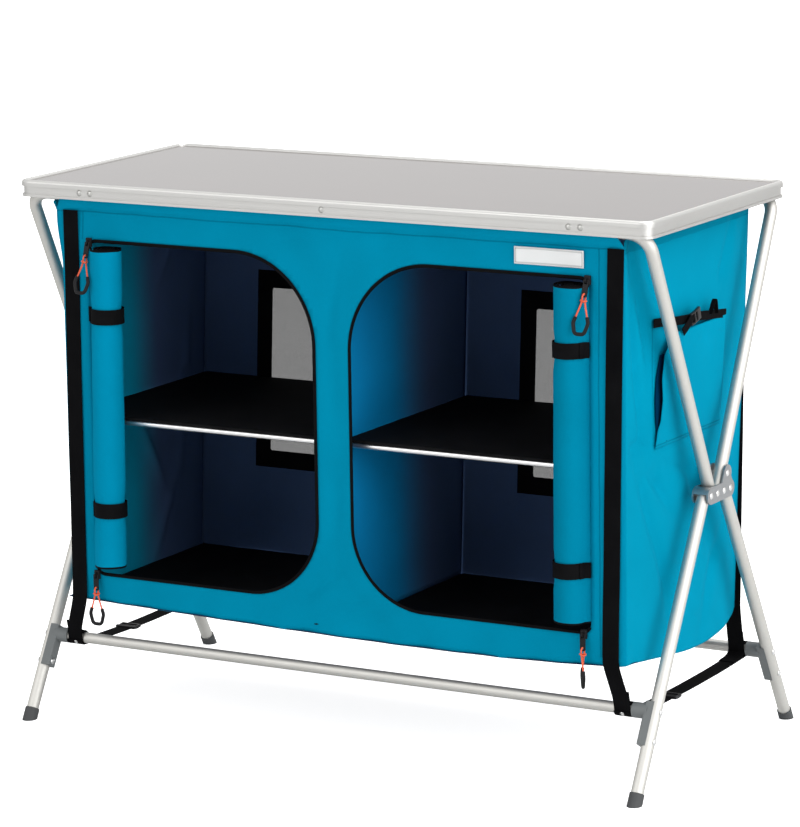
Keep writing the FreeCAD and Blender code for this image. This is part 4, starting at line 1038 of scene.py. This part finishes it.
def side_folds(y, z, side):
    """How far a side wall lies inside its taut place."""
    edge = min(y + 0.2066, back_y(z) - y)
    beside_pocket = max(-0.125 - y, y - 0.085, 0.462 - z, z - 0.662)
    calm = eased_step(beside_pocket / 0.025) if side > 0 else 1.0
    swell = 0.5 + 0.5 * ripple(0, y * 1.3 + z, z * 0.7 - y, 10.0, 5.0 + side)
    deepest = 0.0030 + 0.25 * max(0.0, min(abs(z - 0.453), z - 0.19) - 0.012)
    return eased_step(edge / 0.03) * calm * min(deepest, creased(y, z, side_creases) + 0.0024 * swell)


def side_sag(share):
    """How far the bottom edge hangs below the front corner."""
    return 0.022 * max(0.0, math.sin(math.pi * min(1.0, share) ** 1.6)) ** 0.75


def side_place_for(side):
    edge_x = cabinet_middle_x + side * 0.458

    def place(share, rise):
        shoulder = eased_step(min(share, 1 - share) / 0.05)
        z = 0.182 + rise * (wall_shoulder + (wall_top - wall_shoulder) * shoulder - 0.182)
        y = -0.2066 + share * (back_y(z) - 0.0002 + 0.2066)
        bulge = 0.016 * share * (1 - share)
        x = edge_x + side * (bulge - 0.0006 - side_folds(y, z, side))
        if side > 0:
            x -= back_edge_pull(z) * max(0.0, share / 0.15 - 5.667) ** 1.3
        else:
            x += front_edge_pull(z) * max(0.0, 1 - share / 0.05)
            x -= 0.011 * eased_step((z - 0.752) / 0.03) * max(0.0, 1 - share / 0.16)
        return (x, y, z - side_sag(share) * eased_step((0.27 - z) / 0.088))
    return place


for name, side, seams in (("left_side_wall", -1, []), ("right_side_wall", 1, [("Y", -0.128, "Z", 0.474, 0.640)])):
    seams = seams + [("Z", 0.7525, "Y", -1, 1)]
    side_cloth = cloth_finish(name + "_blue", side_blue, "Y", seams)
    wall = grid_piece(name + "_cloth", [i / 110 for i in range(111)], [i / 150 for i in range(151)],
                      side_place_for(side), (side_cloth, side_inside_lit_to_shade, side_rim_shade, side_inside_lit_to_shade), turned_over=side < 0)
    # Faces above the seam under the rim get the painted rim shadow.
    for face in wall.data.polygons:
        if face.center.z > 0.7525:
            face.material_index = 2
    thickened(wall, cloth_thickness, 0.0, 1)
    stands_in(wall, "cabinet_middle", name)
    middle_pieces.append(wall)

# A divider of the same cloth splits the cabinet in two, and one sheet closes its bottom.
# The divider is a lighter blue for the light that falls on it near the front, fading to navy painted shade towards the
# back.
divider_cloth = cloth_finish("divider_cloth", (0.004, 0.25, 0.56), "Y", roughness=0.65, shade_fade=(shade_navy, "Y", -0.05, 0.08))


def divider_place(share, z):
    front = -0.2064 + front_give(cabinet_middle_x, z)
    y = front + share * (back_y(z) - 0.0004 - front)
    free = eased_step(min(share, 1 - share) / 0.15) * eased_step((z - 0.1835) / 0.05)
    return (cabinet_middle_x + free * 0.002 * ripple(0, y, z, 9.0, 9.0), y, z)


divider = grid_piece("divider_cloth", [i / 48 for i in range(49)], steps([0.1838, 0.768], 0.009),
                     divider_place, (divider_cloth,))
thickened(divider, cloth_thickness)
stands_in(divider, "cabinet_middle", "divider")
# The bottom's dark navy is painted shade for the shadowed underside of the cabinet.
bottom_cloth = cloth_finish("bottom_cloth", (0.012, 0.03, 0.07), "X")


def bottom_place(x, y):
    """The bottom hangs with the walls' edges that it is sewn to."""
    share = (y + 0.2066) / 0.3666
    from_side = min(x - cabinet_left, cabinet_right - x)
    x -= back_edge_pull(0.18) * eased_step((x - 0.42) / 0.045) * eased_step((share - 0.8) / 0.2)
    sag = max(side_sag(share) * (1 - eased_step(from_side / 0.07)), front_sag(x) * (1 - eased_step(share / 0.2)))
    return (x, y, 0.1832 - sag - 0.0004 * abs(ripple(x, y, 0, 14, 2.2)))


bottom = grid_piece("cabinet_bottom_cloth", steps([cabinet_left + 0.0002, cabinet_right - 0.0002], 0.012),
                    steps([-0.2064, 0.1596], 0.012), bottom_place, (bottom_cloth,))
thickened(bottom, cloth_thickness)
stands_in(bottom, "cabinet_middle", "cabinet_bottom")
middle_pieces += [divider, bottom]

# A flat pocket is sewn on the right side wall. Its front edge gapes in a soft S over a dark sheet
# of painted shade, a gusset closes its back edge, and a thin strap with a buckle crosses its mouth.
pocket_cloth = cloth_finish("pocket_cloth", side_blue, "Y", [("Z", 0.4745, "Y", -1, 1)])
# A dark sheet in the pocket's gap is painted shade for the shadow there.
pocket_gap_shade = cloth_finish("pocket_gap_shade", (0.0, 0.022, 0.06), "Y")
pocket_low, pocket_top = 0.470, 0.6265
pocket_back = 0.078
pocket_foot = 0.4695
# Heights with the free edge's x and y there, and with the y where the painted-shade sheet meets the wall.
free_edge = [(0.470, 0.4703, -0.1262), (0.493, 0.4725, -0.1238), (0.510, 0.4750, -0.1179),
             (0.538, 0.4770, -0.1156), (0.566, 0.4780, -0.1191), (0.599, 0.4790, -0.1131),
             (0.612, 0.4795, -0.1016), (0.630, 0.4800, -0.0800)]
shade_sheet_edge = [(0.470, -0.122), (0.492, -0.1213), (0.511, -0.1243), (0.539, -0.1256), (0.566, -0.1223),
               (0.600, -0.110)]


def followed(marks, z):
    """The values at a height, from the marks below and above it."""
    for (low, *first), (high, *last) in zip(marks, marks[1:]):
        if z <= high:
            share = eased_step((z - low) / (high - low)) * 0.5 + max(0.0, z - low) / (high - low) * 0.5
            return [a + (b - a) * share for a, b in zip(first, last)]
    return marks[-1][1:]


def pocket_place(share, z):
    rise = (z - pocket_low) / (pocket_top - pocket_low)
    lean = pocket_foot + 0.0006 + 0.0112 * rise ** 0.8
    edge_x, edge_y = followed(free_edge, z)
    creases = 0.0012 * ripple(0, share * 2, z, 9.0, 7.0) * rise - 0.0016 * rise * math.exp(-((share - 0.75) / 0.03) ** 2)
    if share > 1:
        return (lean + (pocket_foot - 0.0012 - lean) * (share - 1) / 0.05, pocket_back + 0.0004 * (share - 1), z)
    x = lean + (edge_x - lean) * (1 - eased_step(share / 0.25))
    return (x + creases * (1 - share), edge_y + share * (pocket_back - edge_y), z)


def shade_sheet_place(share, z):
    edge = followed(shade_sheet_edge, z)[0]
    return (0.4702 + 0.0010 * share, edge + share * (-0.092 - edge), z)


pocket = grid_piece("side_pocket_cloth", [i / 60 for i in range(61)] + [1.0125, 1.025, 1.0375, 1.05],
                    steps([pocket_low, pocket_top], 0.0045), pocket_place, (pocket_cloth,))
thickened(pocket, cloth_thickness)
shade_layer = grid_piece("side_pocket_shade_sheet", [i / 8 for i in range(9)], steps([0.476, 0.599], 0.006), shade_sheet_place,
                    (pocket_gap_shade,))
thickened(shade_layer, 0.0008)
for piece in (pocket, shade_layer):
    stands_in(piece, "cabinet_middle", "side_pocket")
strap_x = 0.4822
pocket_strap = strap_piece("pocket_strap_webbing", [
    (0.4708, -0.131, 0.6463), (0.4712, -0.120, 0.6456), (0.4740, -0.106, 0.6445), (strap_x - 0.002, -0.088, 0.643),
    (strap_x, -0.05, 0.640), (strap_x, -0.01, 0.6382), (strap_x, 0.035, 0.633), (strap_x - 0.0005, 0.06, 0.630),
    (strap_x - 0.0015, 0.079, 0.6277)], (0, 0.1, 0.995), 0.0125, 0.0012, webbing, 0.0012)
loose_end = strap_piece("pocket_strap_end", [
    (strap_x + 0.0035, -0.036, 0.643), (strap_x + 0.0050, -0.046, 0.640), (strap_x + 0.0045, -0.058, 0.632),
    (strap_x + 0.0030, -0.069, 0.625)], (0, -0.5, 0.86), 0.0125, 0.0012, webbing, 0.001, 3.0)
keeper = strap_piece("pocket_strap_keeper", [
    (strap_x + 0.0015, 0.021, 0.636), (strap_x + 0.0025, 0.027, 0.650), (strap_x + 0.0035, 0.0325, 0.6575),
    (strap_x + 0.0025, 0.037, 0.648), (strap_x + 0.0015, 0.041, 0.634)], (1, 0, 0), 0.0065, 0.0012, webbing, 0.0004, 5.0)
for strap in (pocket_strap, loose_end, keeper):
    stands_in(strap, "cabinet_middle", "pocket_strap")
middle_pieces += [pocket, shade_layer, pocket_strap, loose_end, keeper]

buckle_plastic = plastic_finish("buckle_plastic", (0.006, 0.006, 0.007), 0.3, 0.2)


def ladder_buckle(name, centre, along, across, lengths, widths, thickness):
    """A moulded frame with bars. Lengths and widths are the stops of its bars and gaps, and
    the gaps lie inside the outer widths, at every second step of the length."""
    normal = Vector(along).cross(Vector(across))

    def place(column, row):
        lift = 0.0008 * (abs(column) < abs(lengths[0]) * 0.6)
        return Vector(centre) + Vector(along) * column + Vector(across) * row + normal * lift

    def solid_part(column, row):
        i = max(n for n, v in enumerate(lengths) if v <= column)
        return abs(row) > widths[1] or i % 2 == 0
    buckle = grid_piece(name, lengths, [-widths[0], -widths[1], 0, widths[1], widths[0]], place,
                        (buckle_plastic,), keep=solid_part)
    return plumped(buckle, thickness, 0.25, 3)


pocket_buckle = ladder_buckle("pocket_buckle_frame", (strap_x + 0.0028, -0.031, 0.6415), (0, 0.97, 0.24), (0, -0.24, 0.97),
                              [-0.015, -0.011, -0.005, -0.001, 0.0035, 0.015], (0.0088, 0.0062), 0.0046)
stands_in(pocket_buckle, "cabinet_middle", "pocket_buckle")
for piece in middle_pieces:
    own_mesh(piece)

# Two more straps tie the front rail to the back rail under the cabinet. Each has a buckle
# near its front and sags a little.
wrap_radius = 0.0104
run_z = 0.1056


def rail_arc(centre_y, first, last):
    count = max(2, round(abs(last - first) / 12))
    angles = [math.radians(first + (last - first) * i / count) for i in range(count + 1)]
    return [Vector((0, centre_y + wrap_radius * math.cos(a), rail_z + wrap_radius * math.sin(a))) for a in angles]


def run_sag(y):
    return run_z - 0.005 * (1 - (y / rail_y) ** 2)


for name, x in (("left", -0.452), ("right", 0.452)):
    shift = Vector((x, 0, 0))
    run = [Vector((0, y, run_sag(y))) for y in (-0.16, -0.12, -0.08, -0.04, 0, 0.04, 0.08, 0.12, 0.16)]
    long_run = rail_arc(-rail_y, 192, 270) + run + rail_arc(rail_y, 270, 446)
    front_lap = rail_arc(-rail_y, 90, -10) + [Vector((0, -rail_y + 0.018, run_z + 0.0012)),
                                              Vector((0, -rail_y + 0.042, run_sag(-rail_y + 0.042) + 0.0015))]
    back_lap = rail_arc(rail_y, 192, 205) + [Vector((0, rail_y - 0.018, run_z + 0.0012)),
                                             Vector((0, rail_y - 0.042, run_sag(rail_y - 0.042) + 0.0015))]
    pieces = [strap_piece(f"{name}_cross_strap_{part}", [p + shift for p in points], (1, 0, 0), 0.025, 0.0012,
                          webbing, 0.001, x + k)
              for k, (part, points) in enumerate((("run", long_run), ("front_lap", front_lap), ("back_lap", back_lap)))]
    for strap in pieces:
        stands_in(strap, "front_legs", name + "_cross_strap")
    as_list(pieces[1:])
    for strap in pieces:
        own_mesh(strap)
    buckle = ladder_buckle(name + "_cross_buckle", (x, -0.05, run_sag(-0.05) + 0.0006), (0, 1, 0), (1, 0, 0),
                           [-0.010, -0.0065, -0.0015, 0.0015, 0.0065, 0.010], (0.0165, 0.0130), 0.0044)
    stands_in(buckle, "front_legs", "cross_strap_buckles")
